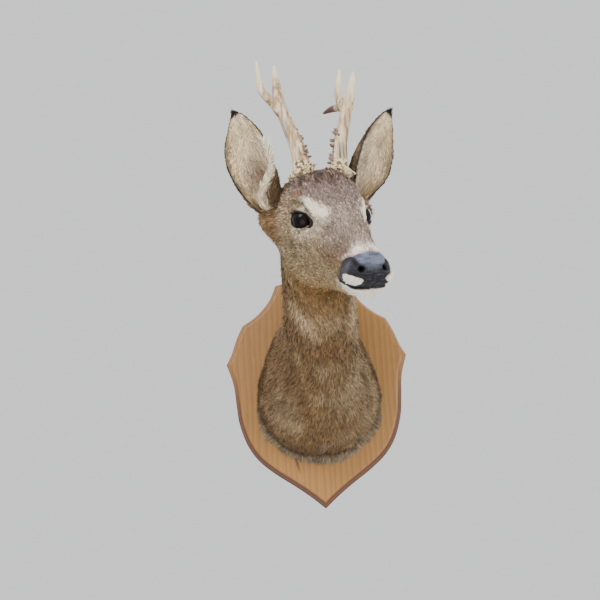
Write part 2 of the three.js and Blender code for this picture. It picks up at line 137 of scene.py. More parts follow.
def soft_box(name, place, size, watts, tint):
    data = bpy.data.lights.new(name, "AREA")
    data.shape, data.size, data.energy, data.color = "DISK", size, watts, tint
    away = Vector(place) - Vector(LIT_SPOT)
    turn = away.to_track_quat("Z", "Y").to_matrix().to_4x4()
    put_in(name, data).matrix_world = Matrix.Translation(place) @ turn


for light in LIGHTS:
    soft_box(*light)

world = bpy.data.worlds.new("pale_room")
world.use_nodes = True
background = world.node_tree.nodes["Background"].inputs
background["Color"].default_value = (*ROOM_TINT, 1)
background["Strength"].default_value = ROOM_GLOW
bpy.context.scene.world = world

bpy.ops.mesh.primitive_circle_add(vertices=96, radius=FLOOR_RADIUS, fill_type="NGON",
                                  location=(0, 0, FLOOR_LEVEL))
floor = bpy.context.object
floor.name = "floor"
floor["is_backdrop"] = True
print("lights:", len(LIGHTS), "floor at", FLOOR_LEVEL, "m")

# %% [markdown]
# ## Measuring tools
# The body is a long row of cross sections, and values between two of them come from a
# smooth curve through all. Uneven things, such as hair clumps and bone, need noise that is
# the same at each run, so it is hashed from cell numbers and a seed.

# %% Curves and steps on whole arrays
def along(values, place):
    """Smooth value at fractional places along a list."""
    values, place = np.asarray(values, float), np.asarray(place, float)
    last = len(values) - 1
    i = np.clip(np.floor(place).astype(int), 0, last - 1)
    t = place - i
    before, here = values[np.maximum(i - 1, 0)], values[i]
    there, after = values[i + 1], values[np.minimum(i + 2, last)]
    slope_here, slope_there = (there - before) / 2, (after - here) / 2
    return (
        (2 * t**3 - 3 * t**2 + 1) * here
        + (t**3 - 2 * t**2 + t) * slope_here
        + (3 * t**2 - 2 * t**3) * there
        + (t**3 - t**2) * slope_there
    )


def step(low, high, value):
    """0 below low, 1 above high and a soft S between them."""
    t = np.clip((value - low) / (high - low), 0, 1)
    return t * t * (3 - 2 * t)


def mix(a, b, share):
    return a * (1 - share) + b * share


def unit(v):
    return v / np.maximum(np.linalg.norm(v, axis=-1, keepdims=True), 1e-9)


def bell(distance, radius):
    return np.exp(-((distance / radius) ** 2))


def near_line(points, line):
    """Distance from points to a broken line, and the share of the line where it is nearest."""
    line = np.asarray(line, float)
    best = np.full(points.shape[:-1], 1e9)
    share = np.zeros_like(best)
    for i, (a, b) in enumerate(zip(line[:-1], line[1:])):
        t = np.clip(((points - a) @ (b - a)) / ((b - a) @ (b - a)), 0, 1)
        gap = np.linalg.norm(points - a - t[..., None] * (b - a), axis=-1)
        share = np.where(gap < best, (i + t) / (len(line) - 1), share)
        best = np.minimum(best, gap)
    return best, share


def round_angles(count):
    return np.arange(count) * 2 * math.pi / count


print("half way up a step:", step(0, 10, 5.0))

# %% Noise
def cell_hash(i, j, k, seed):
    h = (i * 374761393 + j * 668265263 + k * 362437 + seed * 1274126177) & 0xFFFFFFFF
    h = ((h ^ (h >> 13)) * 1274126177) & 0xFFFFFFFF
    return (h ^ (h >> 16)) / 2147483648.0 - 1


def noise(points, size, seed):
    """Soft noise from -1 to 1 with lumps of about that size; size may differ by axis."""
    q = np.asarray(points, float) / size
    cell = np.floor(q).astype(np.int64)
    t = q - cell
    t = t * t * (3 - 2 * t)
    total = 0
    for corner in np.ndindex(2, 2, 2):
        weight = 1
        for k, far in enumerate(corner):
            weight = weight * (t[..., k] if far else 1 - t[..., k])
        total = total + weight * cell_hash(*(cell[..., k] + corner[k] for k in range(3)), seed)
    return total


print("noise sample", noise([[1.5, 2.5, 3.5]], 2.0, 0).round(3))

# %% [markdown]
# ## Tints
# A marking is a tint laid over the colour below through a soft mask, like a stain put on
# with a brush. Hide, hair, nose and bone are all coloured so, and one function lays a list.

# %% Tints and layers
def srgb(text):
    """'a0b1c2' as a linear colour."""
    c = np.array([int(text[i : i + 2], 16) for i in (0, 2, 4)]) / 255
    return np.where(c <= 0.04045, c / 12.92, ((c + 0.055) / 1.055) ** 2.4)


def tint_table(**codes):
    return {name: srgb(code) for name, code in codes.items()}


def layered(colour, tints, layers):
    """Lays each (tint, mask, strength) over the colour; a tint is a name or an array."""
    for tint, mask, strength in layers:
        tint = tints[tint] if isinstance(tint, str) else tint
        colour = mix(colour, tint, (np.clip(mask, 0, 1) * strength)[..., None])
    return colour


print("oak sample colour", srgb("b08a62").round(3))

# %% [markdown]
# ## From arrays to a mesh
# Large meshes are written straight into Blender's own arrays, which takes a fraction of a
# second where from_pydata would take a minute. Colours are stored on the points, because
# markings computed once can then be shared by the skin and by every tuft on it.

# %% Mesh writer
def flat(values):
    """An array as the flat row of small floats that foreach_set takes."""
    return np.asarray(values, np.float32).ravel()


def paint(mesh, colours):
    attribute = mesh.color_attributes.new("coat", "FLOAT_COLOR", "POINT")
    rgba = np.ones((len(colours), 4), np.float32)
    rgba[:, :3] = colours
    attribute.data.foreach_set("color", rgba.ravel())


def write_mesh(name, points, faces, colours=None, uv=None):
    """points in mm; faces is one array of triangles or quads, or a list of such arrays."""
    blocks = faces if isinstance(faces, list) else [faces]
    mesh = bpy.data.meshes.new(name)
    mesh.vertices.add(len(points))
    mesh.vertices.foreach_set("co", flat(points * MM))
    corners = np.concatenate([b.ravel() for b in blocks]).astype(np.int32)
    totals = np.concatenate([np.full(len(b), b.shape[1]) for b in blocks])
    starts = np.concatenate([[0], np.cumsum(totals)[:-1]]).astype(np.int32)
    mesh.loops.add(len(corners))
    mesh.loops.foreach_set("vertex_index", corners)
    mesh.polygons.add(len(totals))
    mesh.polygons.foreach_set("loop_start", starts)
    mesh.polygons.foreach_set("use_smooth", np.full(len(totals), True))
    if uv is not None:
        mesh.uv_layers.new(name="OFBake").data.foreach_set("uv", flat(uv[corners]))
    if colours is not None:
        paint(mesh, colours)
    mesh.update(calc_edges=True)
    mesh.validate()
    return put_in(name, mesh)


def points_only(name, places):
    mesh = bpy.data.meshes.new(name)
    mesh.vertices.add(len(places))
    mesh.vertices.foreach_set("co", flat(places * MM))
    return put_in(name, mesh)


def points_of(piece):
    co = np.empty(len(piece.data.vertices) * 3, np.float32)
    piece.data.vertices.foreach_get("co", co)
    return co.reshape(-1, 3).astype(float) / MM


print("meshes so far:", len(bpy.data.meshes))

# %% Faces of grids and tubes
def grid_faces(rows, columns):
    """Quads over a grid of points, joined round in the column direction."""
    i, j = np.meshgrid(np.arange(rows - 1), np.arange(columns), indexing="ij")
    a, b = i * columns + j, i * columns + (j + 1) % columns
    return np.stack([a, b, b + columns, a + columns], -1).reshape(-1, 4)


def cap_faces(rows, columns):
    """Triangles that close both ends of a grid on two hub points, stored after its own."""
    hub, ring = rows * columns, np.arange(columns)
    after, last = np.roll(ring, -1), hub - columns
    start_cap = np.stack([after, ring, np.full_like(ring, hub)], -1)
    end_cap = np.stack([ring + last, after + last, np.full_like(ring, hub + 1)], -1)
    return np.concatenate([start_cap, end_cap])


def halved(quads):
    """Two triangles for each quad."""
    return np.concatenate([quads[:, [0, 1, 2]], quads[:, [0, 2, 3]]])


def inside_out(points, triangles):
    """True if a closed shell has its faces turned inwards, so that its volume is negative."""
    a, b, c = (points[triangles[:, k]] for k in range(3))
    return (a * np.cross(b, c)).sum() < 0


def closed_tube(grid):
    """Points and faces of a grid of rings with both ends closed by a hub."""
    rows, sides = grid.shape[:2]
    points = np.concatenate([grid.reshape(-1, 3), grid[[0, -1]].mean(1)])
    triangles = np.concatenate([halved(grid_faces(rows, sides)), cap_faces(rows, sides)])
    return points, triangles[:, ::-1] if inside_out(points, triangles) else triangles


def joined(parts):
    """Several (points, faces) as one."""
    starts = np.cumsum([0] + [len(points) for points, _ in parts[:-1]])
    faces = [faces + start for (_, faces), start in zip(parts, starts)]
    return np.concatenate([points for points, _ in parts]), np.concatenate(faces)


print("quads between 3 rings of 8:", len(grid_faces(3, 8)))

# %% [markdown]
# ## Writing materials as sums
# A material's pattern reads best as arithmetic: 1 - mask, grain * 0.4 + 0.6. The class
# wraps one socket and turns each operator into a Math node. Every other node comes from
# one method, and colours go through Mix nodes.

# %% A wire
class Wire:
    """A value inside a material's node tree."""

    def __init__(self, tree, socket):
        self.tree, self.socket = tree, socket

    def math(self, operation, a, b=None):
        made = self.tree.nodes.new("ShaderNodeMath")
        made.operation = operation
        for slot_number, value in enumerate((a, b)):
            if isinstance(value, Wire):
                self.tree.links.new(value.socket, made.inputs[slot_number])
            elif value is not None:
                made.inputs[slot_number].default_value = value
        return Wire(self.tree, made.outputs[0])

    def __add__(self, other): return self.math("ADD", self, other)
    def __sub__(self, other): return self.math("SUBTRACT", self, other)
    def __rsub__(self, other): return self.math("SUBTRACT", other, self)
    def __mul__(self, other): return self.math("MULTIPLY", self, other)
    def __truediv__(self, other): return self.math("DIVIDE", self, other)
    def __pow__(self, other): return self.math("POWER", self, other)


def socket_of(node, key):
    """A node's input by its name, with _ for a space, or by n and its number."""
    return node.inputs[int(key[1:]) if key[1:].isdigit() else key.replace("_", " ")]


print("a wire takes + - * / and **")

# %% A finish
NORMAL, OBJECT = 1, 3  # outputs of Texture Coordinate


class Finish:
    """One material and its node tree."""

    def __init__(self, name):
        self.material = bpy.data.materials.new(name)
        self.material.use_nodes = True
        self.tree = self.material.node_tree
        self.shader = self.tree.nodes["Principled BSDF"]

    def node(self, kind, settings=(), out=0, **inputs):
        made = self.tree.nodes.new("ShaderNode" + kind)
        for key, value in dict(settings).items():
            setattr(made, key, value)
        for key, value in inputs.items():
            self.feed(socket_of(made, key), value)
        return Wire(self.tree, made.outputs[out])

    def feed(self, socket, value):
        if isinstance(value, Wire):
            self.tree.links.new(value.socket, socket)
        elif socket.type == "RGBA" and len(value) == 3:
            socket.default_value = (*value, 1)
        else:
            socket.default_value = value

    def place(self, scale=(1, 1, 1)):
        """Object coordinates, stretched."""
        spot = self.node("TexCoord", out=OBJECT)
        return self.node("Mapping", {"vector_type": "POINT"}, Vector=spot, Scale=scale)

    def axes(self, out):
        """x, y and z of the place or of the surface's direction."""
        split = self.node("SeparateXYZ", Vector=self.node("TexCoord", out=out)).socket.node
        return [Wire(self.tree, socket) for socket in split.outputs]

    def painted(self):
        """The colours stored on the points."""
        return self.node("Attribute", {"attribute_name": "coat"})

    def blend(self, share, a, b, how="MIX"):
        made = self.tree.nodes.new("ShaderNodeMix")
        made.data_type, made.blend_type = "RGBA", how
        for slot_number, value in ((0, share), (6, a), (7, b)):
            self.feed(made.inputs[slot_number], value)
        return Wire(self.tree, made.outputs[2])

    def fit(self, value, low, high, to_low=0.0, to_high=1.0):
        return self.node("MapRange", {"interpolation_type": "SMOOTHSTEP"}, Value=value,
                         From_Min=low, From_Max=high, To_Min=to_low, To_Max=to_high)

    def grain(self, spot, size, detail=4.0, roughness=0.55):
        return self.node("TexNoise", {"noise_dimensions": "3D"}, Vector=spot,
                         Scale=size, Detail=detail, Roughness=roughness)

    def bump(self, height, strength, distance):
        return self.node("Bump", Height=height, Strength=strength, Distance=distance)

    def done(self, **inputs):
        for key, value in inputs.items():
            self.feed(socket_of(self.shader, key), value)
        return self.material


def wear(piece, material):
    piece.data.materials.clear()
    piece.data.materials.append(material)
    return piece


plaster = Finish("plain_floor")
floor_tone = plaster.grain(plaster.place(), 3.0)
floor_colour = plaster.blend(floor_tone, (0.78, 0.78, 0.77), (0.82, 0.82, 0.81))
wear(floor, plaster.done(Base_Color=floor_colour, Roughness=0.9))
print("materials:", len(bpy.data.materials))

# %% [markdown]
# ## Shield board
# A shield is sawn from one plank and its edge is run with a router: a square side, a small
# quirk, then a quarter round up to the face. The outline is half a curve mirrored, and the
# edge is that outline stepped inward, so the moulding keeps its width round every corner.
# It is drawn again here, finer than the solid, so that the moulding catches light smoothly.

# %% Board outline
BOARD_THICK, TIP_DROP = 20.0, 160.0
BOARD_CURVES = [
    ([[0, 0], [20, 16.5], [40, 31], [65, 48], [86, 66], [101, 88], [111, 117], [114.5, 143],
      [118, 172], [127, 200]], 72),
    ([[127, 200], [119, 216], [112, 236], [103, 255]], 24),
    ([[103, 255], [86, 266], [72, 279], [61, 294], [53, 313]], 30),
    ([[53, 313], [27, 318], [0, 320]], 18),
]
CORNER_REACH, SHARPEST, IS_CORNER = 30, 0.35, 0.97


def board_outline():
    half = []
    for points, count in BOARD_CURVES:
        place = np.arange(count) * (len(points) - 1) / count
        half.append(np.stack([along(column, place) for column in np.array(points, float).T], -1))
    half = np.concatenate(half + [np.array([[0.0, 320.0]])])
    mirrored = half[1:-1][::-1] * [-1, 1]
    return np.concatenate([half, mirrored]) - [0, TIP_DROP]


def stepped_in(outline, distance):
    """The outline moved inward; beside a sharp corner no point may pass the corner's bisector."""
    before, after = np.roll(outline, 1, 0), np.roll(outline, -1, 0)
    d1, d2 = unit(outline - before), unit(after - outline)
    n1 = np.stack([-d1[:, 1], d1[:, 0]], -1)
    n2 = np.stack([-d2[:, 1], d2[:, 0]], -1)
    mitre = unit(n1 + n2)
    open_share = (mitre * n1).sum(-1)
    moved = outline + mitre * (distance / np.maximum(open_share, SHARPEST))[:, None]
    for corner in np.flatnonzero(open_share < IS_CORNER):
        for offset in [*range(-CORNER_REACH, 0), *range(1, CORNER_REACH + 1)]:
            i = (corner + offset) % len(outline)
            from_corner = moved[i] - outline[corner]
            side = mitre[corner][0] * from_corner[1] - mitre[corner][1] * from_corner[0]
            if side * offset > 0:
                moved[i] = moved[corner]
    return moved


print("outline points:", len(board_outline()))

# %% Moulding and faces
SQUARE_EDGE, QUIRK_IN, QUIRK_RISE, ROUND_IN, ROUND_STEPS = 9.0, 1.6, 1.2, 7.5, 9
FLAT_FACE = 0.995  # a face that looks this straight along the board's depth isn't smoothed


def moulding_profile():
    """Inset from the outline and depth from the back, from the back's edge to the face."""
    edge = SQUARE_EDGE
    profile = [(0.5, 0), (0, 0.5), (0, edge - 0.6), (0.4, edge), (1.5, edge + 0.2),
               (QUIRK_IN, edge + QUIRK_RISE)]
    rise = BOARD_THICK - edge - QUIRK_RISE
    for a in np.linspace(0, 1, ROUND_STEPS)[1:] * math.pi / 2:
        inset = QUIRK_IN + ROUND_IN * (1 - math.cos(a))
        profile.append((inset, edge + QUIRK_RISE + rise * math.sin(a)))
    return profile


def build_board():
    outline = board_outline()
    rings = [np.insert(stepped_in(outline, inset), 1, -depth, axis=1)
             for inset, depth in moulding_profile()]
    points, count = np.concatenate(rings), len(outline)
    piece = write_mesh("shield", points, grid_faces(len(rings), count)[:, ::-1])
    work = bmesh.new()
    work.from_mesh(piece.data)
    work.verts.ensure_lookup_table()
    for start in (0, len(points) - count):
        work.faces.new([work.verts[i] for i in range(start, start + count)])
    bmesh.ops.recalc_face_normals(work, faces=work.faces)
    bmesh.ops.triangulate(work, faces=[f for f in work.faces if len(f.verts) > 4])
    for face in work.faces:
        face.smooth = abs(face.normal.y) < FLAT_FACE
    work.to_mesh(piece.data)
    work.free()
    return piece


shield = build_board()
print("board faces:", len(shield.data.polygons))

# %% [markdown]
# ## Screws and their holes
# Three screws hold the carved form from behind. Their holes are cut with a Boolean that is
# applied at once, because a hole has to be real in the exported mesh.

# %% Screw holes
SCREW_PLACES = np.array([[-38.0, 0, 52.0], [38.0, 0, 52.0], [0.0, 0, -62.0]])
HEAD_RADIUS, HEAD_DEPTH, HEAD_SUNK, HOLE_ROOM, HOLE_SIDES = 5.0, 3.5, 0.5, 0.3, 40


def plain_mesh(piece, name):
    """The piece as its modifiers leave it, as a new plain object."""
    depsgraph = bpy.context.evaluated_depsgraph_get()
    mesh = bpy.data.meshes.new_from_object(piece.evaluated_get(depsgraph))
    bpy.data.objects.remove(piece)
    mesh.name = name
    return put_in(name, mesh)


def ring_points(radius, depth, count):
    a = round_angles(count)
    return np.stack([radius * np.cos(a), np.full(count, -depth), radius * np.sin(a)], -1)


def hole_cutter():
    radius, deep = HEAD_RADIUS + HOLE_ROOM, HEAD_DEPTH + HEAD_SUNK + HOLE_ROOM
    tube = np.concatenate([ring_points(radius, -1.0, HOLE_SIDES), ring_points(radius, deep, HOLE_SIDES),
                           [[0, 1.0, 0], [0, -deep, 0]]])
    faces = np.concatenate([halved(grid_faces(2, HOLE_SIDES)), cap_faces(2, HOLE_SIDES)])
    return write_mesh("hole_cutter", *joined([(tube + place, faces) for place in SCREW_PLACES]))


cutter = hole_cutter()
cut = shield.modifiers.new("holes", "BOOLEAN")
cut.operation, cut.object, cut.solver = "DIFFERENCE", cutter, "EXACT"
shield = plain_mesh(shield, "shield")
bpy.data.objects.remove(cutter)
print("board faces with holes:", len(shield.data.polygons))

# %% [markdown]
# ### One screw, set three times
# A screw is drawn once, as a turned head with a cross pressed into it, and Geometry Nodes
# put a copy at each place. A small class builds such trees. It keeps each input's
# identifier, because a modifier is fed by that.

# %% The screw
SCREW_RADII = np.array([0.01, 0.5, 0.9, 1.3, 1.8, 2.3, 2.8, 3.4, 4.0, 4.5, 4.8, 5.0, 5.0, 4.4, 0.01])
SCREW_DEPTHS = np.array([0.5, 0.5, 0.5, 0.5, 0.5, 0.5, 0.52, 0.58, 0.68, 0.82, 1.0, 1.25, 3.4, 4.0, 4.0])
SCREW_SIDES, FACE_RINGS, CROSS_DEPTH = 72, 10, 1.3


def screw_blank():
    """A domed head as rings, with a cross pressed into its face; its axis is Y."""
    a = round_angles(SCREW_SIDES)
    x, z = SCREW_RADII[:, None] * np.cos(a), SCREW_RADII[:, None] * np.sin(a)
    y = -np.repeat(SCREW_DEPTHS[:, None], SCREW_SIDES, 1)
    arm = np.minimum(np.abs(x), np.abs(z))
    inside = (1 - step(0.45, 0.8, arm)) * (1 - step(2.6, 3.1, np.hypot(x, z)))
    y[:FACE_RINGS] -= CROSS_DEPTH * inside[:FACE_RINGS]
    points = np.stack([x, y, z], -1).reshape(-1, 3)
    return write_mesh("screw_blank", points, grid_faces(len(SCREW_RADII), SCREW_SIDES))


screw = screw_blank()
print("screw faces:", len(screw.data.polygons))

# %% A tree that sets copies
class Growth:
    """One Geometry Nodes tree with named inputs."""

    def __init__(self, name):
        self.tree = bpy.data.node_groups.new(name, "GeometryNodeTree")
        for way in ("INPUT", "OUTPUT"):
            self.tree.interface.new_socket("Geometry", in_out=way, socket_type="NodeSocketGeometry")
        self.start = self.tree.nodes.new("NodeGroupInput")
        self.end = self.tree.nodes.new("NodeGroupOutput")
        self.kept = {}

    def entry(self, name, kind, value):
        socket = self.tree.interface.new_socket(name, in_out="INPUT", socket_type="NodeSocket" + kind)
        self.kept[socket.identifier] = value
        return self.start.outputs[name]

    def node(self, kind, settings=(), **inputs):
        made = self.tree.nodes.new(kind)
        for key, value in dict(settings).items():
            setattr(made, key, value)
        for key, value in inputs.items():
            socket = socket_of(made, key)
            if isinstance(value, bpy.types.NodeSocket):
                self.tree.links.new(value, socket)
            else:
                socket.default_value = value
        return made

    def copies(self, points, name, thing, material, **turned):
        """Ends the tree with a real copy of the thing on each point, in its material."""
        shape = self.node("GeometryNodeObjectInfo", Object=self.entry(name, "Object", thing))
        spread = self.node("GeometryNodeInstanceOnPoints", Points=points,
                           Instance=shape.outputs["Geometry"], **turned)
        real = self.node("GeometryNodeRealizeInstances", Geometry=spread.outputs[0])
        dressed = self.node("GeometryNodeSetMaterial", Geometry=real.outputs[0], Material=material)
        self.tree.links.new(dressed.outputs[0], self.end.inputs[0])

    def grow(self, piece, name):
        modifier = piece.modifiers.new("growth", "NODES")
        modifier.node_group = self.tree
        for identifier, value in self.kept.items():
            modifier[identifier] = value
        return plain_mesh(piece, name)


steel = Finish("zinc_steel")
brushed = steel.grain(steel.place(scale=(3000, 400, 3000)), 1.0, 2.0)
steel_material = steel.done(
    Base_Color=steel.blend(brushed, (0.42, 0.42, 0.4), (0.6, 0.59, 0.55)), Metallic=1.0,
    Roughness=steel.fit(brushed, 0.2, 0.8, 0.3, 0.5), Normal=steel.bump(brushed, 0.2, 0.0002))

screw_tree = Growth("screws_at_places")
screw_tree.copies(screw_tree.start.outputs[0], "Screw", screw, steel_material)
screws = screw_tree.grow(points_only("screw_places", SCREW_PLACES), "screws")
bpy.data.objects.remove(screw)
print("screws:", len(screws.data.vertices), "points")

# %% [markdown]
# ## Oak
# Oak is read by three sizes of mark: wide bands of early and late wood, fine pores drawn
# out along the grain, and short flecks across it. All run up the board, so the coordinates
# are stretched along Z before any noise reads them. The run edge is end grain for much of
# its length and drinks more stain, which makes it darker and redder. Low on the board the
# run edge is darkened much more, as painted shade where the moulding faces down.

# %% Oak grain
OAK = tint_table(pale="8c612a", warm="ab7a36", band="7f5427", pore="68401e", fleck="c2955c",
                 streak="5b3320", edge="8f5a2f", low_edge="542a10")
oak = Finish("oak")
drift = oak.grain(oak.place(scale=(9, 9, 1.1)), 1.0, 3.0)
across, forward, upward = oak.axes(OBJECT)
rings = oak.node("TexWave", {"wave_type": "BANDS", "bands_direction": "X", "wave_profile": "SAW"}, out=1,
                 Vector=oak.place(scale=(1, 0.6, 0.13)), Scale=38.0, Distortion=5.5, Detail=3.0,
                 Detail_Scale=1.6)
bands = oak.fit(rings, 0.1, 1.0)
pores = oak.grain(oak.place(scale=(1500, 1500, 42)), 1.0, 3.0, 0.7)
pore_mask = oak.fit(pores, 0.56, 0.72)
flecks = oak.fit(oak.grain(oak.place(scale=(420, 300, 60)), 1.0, 2.0), 0.6, 0.8)
facing = oak.axes(NORMAL)[1]
run_edge = 1 - oak.fit(facing.math("ABSOLUTE", facing), 0.8, 0.985)
tone = oak.blend(drift, OAK["pale"], OAK["warm"])
for mask, tint in ((bands * 0.5, "band"), (pore_mask * 0.5, "pore"), (flecks * 0.25, "fleck")):
    tone = oak.blend(mask, tone, OAK[tint])
print("grain nodes:", len(oak.tree.nodes))

# %% Dark streak, stained edge and painted shade low on the edge
STREAK_ACROSS, STREAK_LEAN, STREAK_DOWN, STREAK_LONG = 62, 270, 93, 20
wobble = oak.grain(oak.place(scale=(20, 20, 45)), 1.0)
streak_line = (across * 1000 + STREAK_ACROSS + upward * STREAK_LEAN + wobble * 5 - 2.5) ** 2
streak_height = (upward * 1000 + STREAK_DOWN) / STREAK_LONG
streak = oak.fit(streak_line / 5 + streak_height ** 2, 0.25, 1.5, 1.0, 0.0)
tone = oak.blend(streak * oak.fit(forward, -0.008, -0.014) * 0.85, tone, OAK["streak"])
# painted shade: the run edge turns much darker toward the bottom of the board, where the moulding faces
# down away from the light
low_edge = run_edge * oak.fit(upward, 0.055, -0.03, 0.0, 1.0)
tone = oak.blend(run_edge * 0.35, tone, OAK["edge"])
tone = oak.blend(low_edge * 0.9, tone, OAK["low_edge"])
oak_height = (1 - pore_mask) + bands * 0.3 + drift * 0.3
oak_material = oak.done(
    Base_Color=tone, Roughness=oak.fit(pores, 0.3, 0.8, 0.42, 0.62), Coat_Weight=0.08,
    Coat_Roughness=0.35, Normal=oak.bump(oak_height, 0.35, 0.0006))
wear(shield, oak_material)
print("oak nodes:", len(oak.tree.nodes))

# %% [markdown]
# ## Antlers
# A roe antler is a rod that forks twice, with grooves along the beam, pearls on its inner
# side and a knobbly ring, the burr, at its foot. Rods and burrs are drawn as closed tubes
# and fused with a voxel remesh, which melts the forks together as bone does.

# %% Antler tables: x, y, z and radius from foot to tip
ANTLERS = {
    "right": {
        "burr": dict(at=(-8, -254, 206), radius=17, tilt=(14, -26)),
        "rods": {
            "beam": [[-6, -250, 188, 10], [-7, -253, 205, 10.5], [-8, -253, 222, 9], [-12, -252, 243, 8],
                     [-18, -250, 262, 7.4], [-23, -248, 280, 7.2], [-27, -246, 296, 7.0],
                     [-29, -244, 303, 5]],
            "front": [[-26, -248, 284, 6], [-34, -251, 296, 5.6], [-42, -254, 304, 4.8],
                      [-49, -255, 315, 4.2], [-51, -255, 332, 3.4], [-53, -253, 355, 1.4]],
            "main": [[-27, -246, 292, 6.6], [-30, -242, 316, 6], [-31, -238, 332, 5], [-32, -234, 348, 3.8],
                     [-33, -231, 364, 1.4]],
        },
    },
    "left": {
        "burr": dict(at=(36, -240, 212), radius=16.5, tilt=(14, 14)),
        "rods": {
            "beam": [[34, -236, 192, 10], [36, -240, 210, 10.5], [37, -240, 226, 9], [39, -240, 246, 8],
                     [44, -239, 266, 7.2], [48, -238, 284, 7], [51, -238, 298, 6.8], [52, -238, 304, 5]],
            "front": [[51, -239, 292, 6.4], [54, -243, 304, 6], [57, -247, 316, 5], [59, -250, 325, 3.8],
                      [60, -251, 334, 1.4]],
            "main": [[50, -236, 292, 6], [47, -228, 304, 5.6], [44, -222, 318, 5], [44, -219, 334, 4.2],
                     [46, -217, 350, 3.4], [48, -216, 364, 1.4]],
            "hook": [[46, -226, 303, 5], [40, -218, 308, 4.4], [33, -212, 310, 3.6], [24, -208, 308, 1.2]],
        },
    },
}
print("rods:", [len(antler["rods"]) for antler in ANTLERS.values()])

# %% Rods and burrs as grids
ROD_RINGS, ROD_SIDES, BURR_RINGS, BURR_SIDES = 90, 48, 34, 120
BEAM_GROOVE, TINE_GROOVE = 0.1, 0.04
BURR_PROFILE = np.array([  # share of the radius, height over the middle
    [0.05, -8], [0.62, -8], [0.84, -4.5], [1, -1.5], [0.97, 0.8], [0.76, 2.8], [0.5, 4.2], [0.05, 5.5]])


def rod_grid(table, groove):
    """Rings of points round a smooth line; groove is the depth of the furrows at the foot."""
    place = np.linspace(0, len(table) - 1, ROD_RINGS)
    x, y, z, radius = (along(column, place) for column in np.array(table, float).T)
    line = np.stack([x, y, z], -1)
    side = np.array([1.0, 0, 0])
    frames = []
    for heading in unit(np.gradient(line, axis=0)):
        side = unit(side - heading * (side @ heading))
        frames.append((side, np.cross(heading, side)))
    s, o = np.array([f[0] for f in frames]), np.array([f[1] for f in frames])
    a = round_angles(ROD_SIDES)
    share = np.linspace(0, 1, ROD_RINGS)[:, None]
    wander = 0.5 * np.sin(7 * share + table[0][0])
    furrow = np.sin(7 * a + 2 * wander) * 0.5 + np.sin(11 * a - 3 * wander + 1.3) * 0.5
    swell = 1 + 0.03 * np.sin(2 * a + 5 * share)
    r = radius[:, None] * (swell + groove * (1 - share) ** 0.8 * furrow)
    round_it = s[:, None] * np.cos(a)[:, None] + o[:, None] * np.sin(a)[:, None]
    return line[:, None] + r[..., None] * round_it


def burr_grid(at, radius, tilt):
    place = np.linspace(0, len(BURR_PROFILE) - 1, BURR_RINGS)
    r, h = along(BURR_PROFILE[:, 0], place) * radius, along(BURR_PROFILE[:, 1], place)
    a = round_angles(BURR_SIDES)
    points = np.stack([r[:, None] * np.cos(a), r[:, None] * np.sin(a),
                       np.repeat(h[:, None], BURR_SIDES, 1)], -1)
    out = unit(points * [1, 1, 0.6])
    knobs = 1.7 * noise(points, 4.2, 3) + 1.5 * noise(points, 2.1, 4)
    points = points + out * (knobs * step(0.4, 0.8, r / radius)[:, None])[..., None]
    tx, ty = np.radians(tilt)
    turn_x = np.array([[1, 0, 0], [0, math.cos(tx), -math.sin(tx)], [0, math.sin(tx), math.cos(tx)]])
    turn_y = np.array([[math.cos(ty), 0, math.sin(ty)], [0, 1, 0], [-math.sin(ty), 0, math.cos(ty)]])
    return points @ turn_x.T @ turn_y.T + np.array(at, float)


print("points in one rod:", ROD_RINGS * ROD_SIDES)

# %% Fuse each antler
ANTLER_VOXEL = 0.00055


def fuse_antler(side):
    parts = [closed_tube(burr_grid(**ANTLERS[side]["burr"]))]
    for name, table in ANTLERS[side]["rods"].items():
        parts.append(closed_tube(rod_grid(table, BEAM_GROOVE if name == "beam" else TINE_GROOVE)))
    piece = write_mesh("antler_raw", *joined(parts))
    fuse = piece.modifiers.new("fuse", "REMESH")
    fuse.mode, fuse.voxel_size, fuse.use_smooth_shade = "VOXEL", ANTLER_VOXEL, True
    soften = piece.modifiers.new("soften", "SMOOTH")
    soften.factor, soften.iterations = 0.5, 2
    return plain_mesh(piece, "antler_" + side)


antler_pieces = {side: fuse_antler(side) for side in ANTLERS}
for side, piece in antler_pieces.items():
    print("antler", side, len(piece.data.polygons), "faces")

# %% [markdown]
# ### Colour of the bone
# Sap and bark stain the furrows brown, rubbing whitens the tips, and the burr keeps dirt in
# its pits. The stain is computed on the points, as streaks of noise along the beam.

# %% Antler colours
BONE = tint_table(pale="e2c59b", brown="ba9a72", stain="8a6a42", grey="b3aaa5", furrow="5b4730",
                  ridge="f6e2c0", tip="fff0cf", knob="eed7a8", pit="4e3823", hook="552f24")


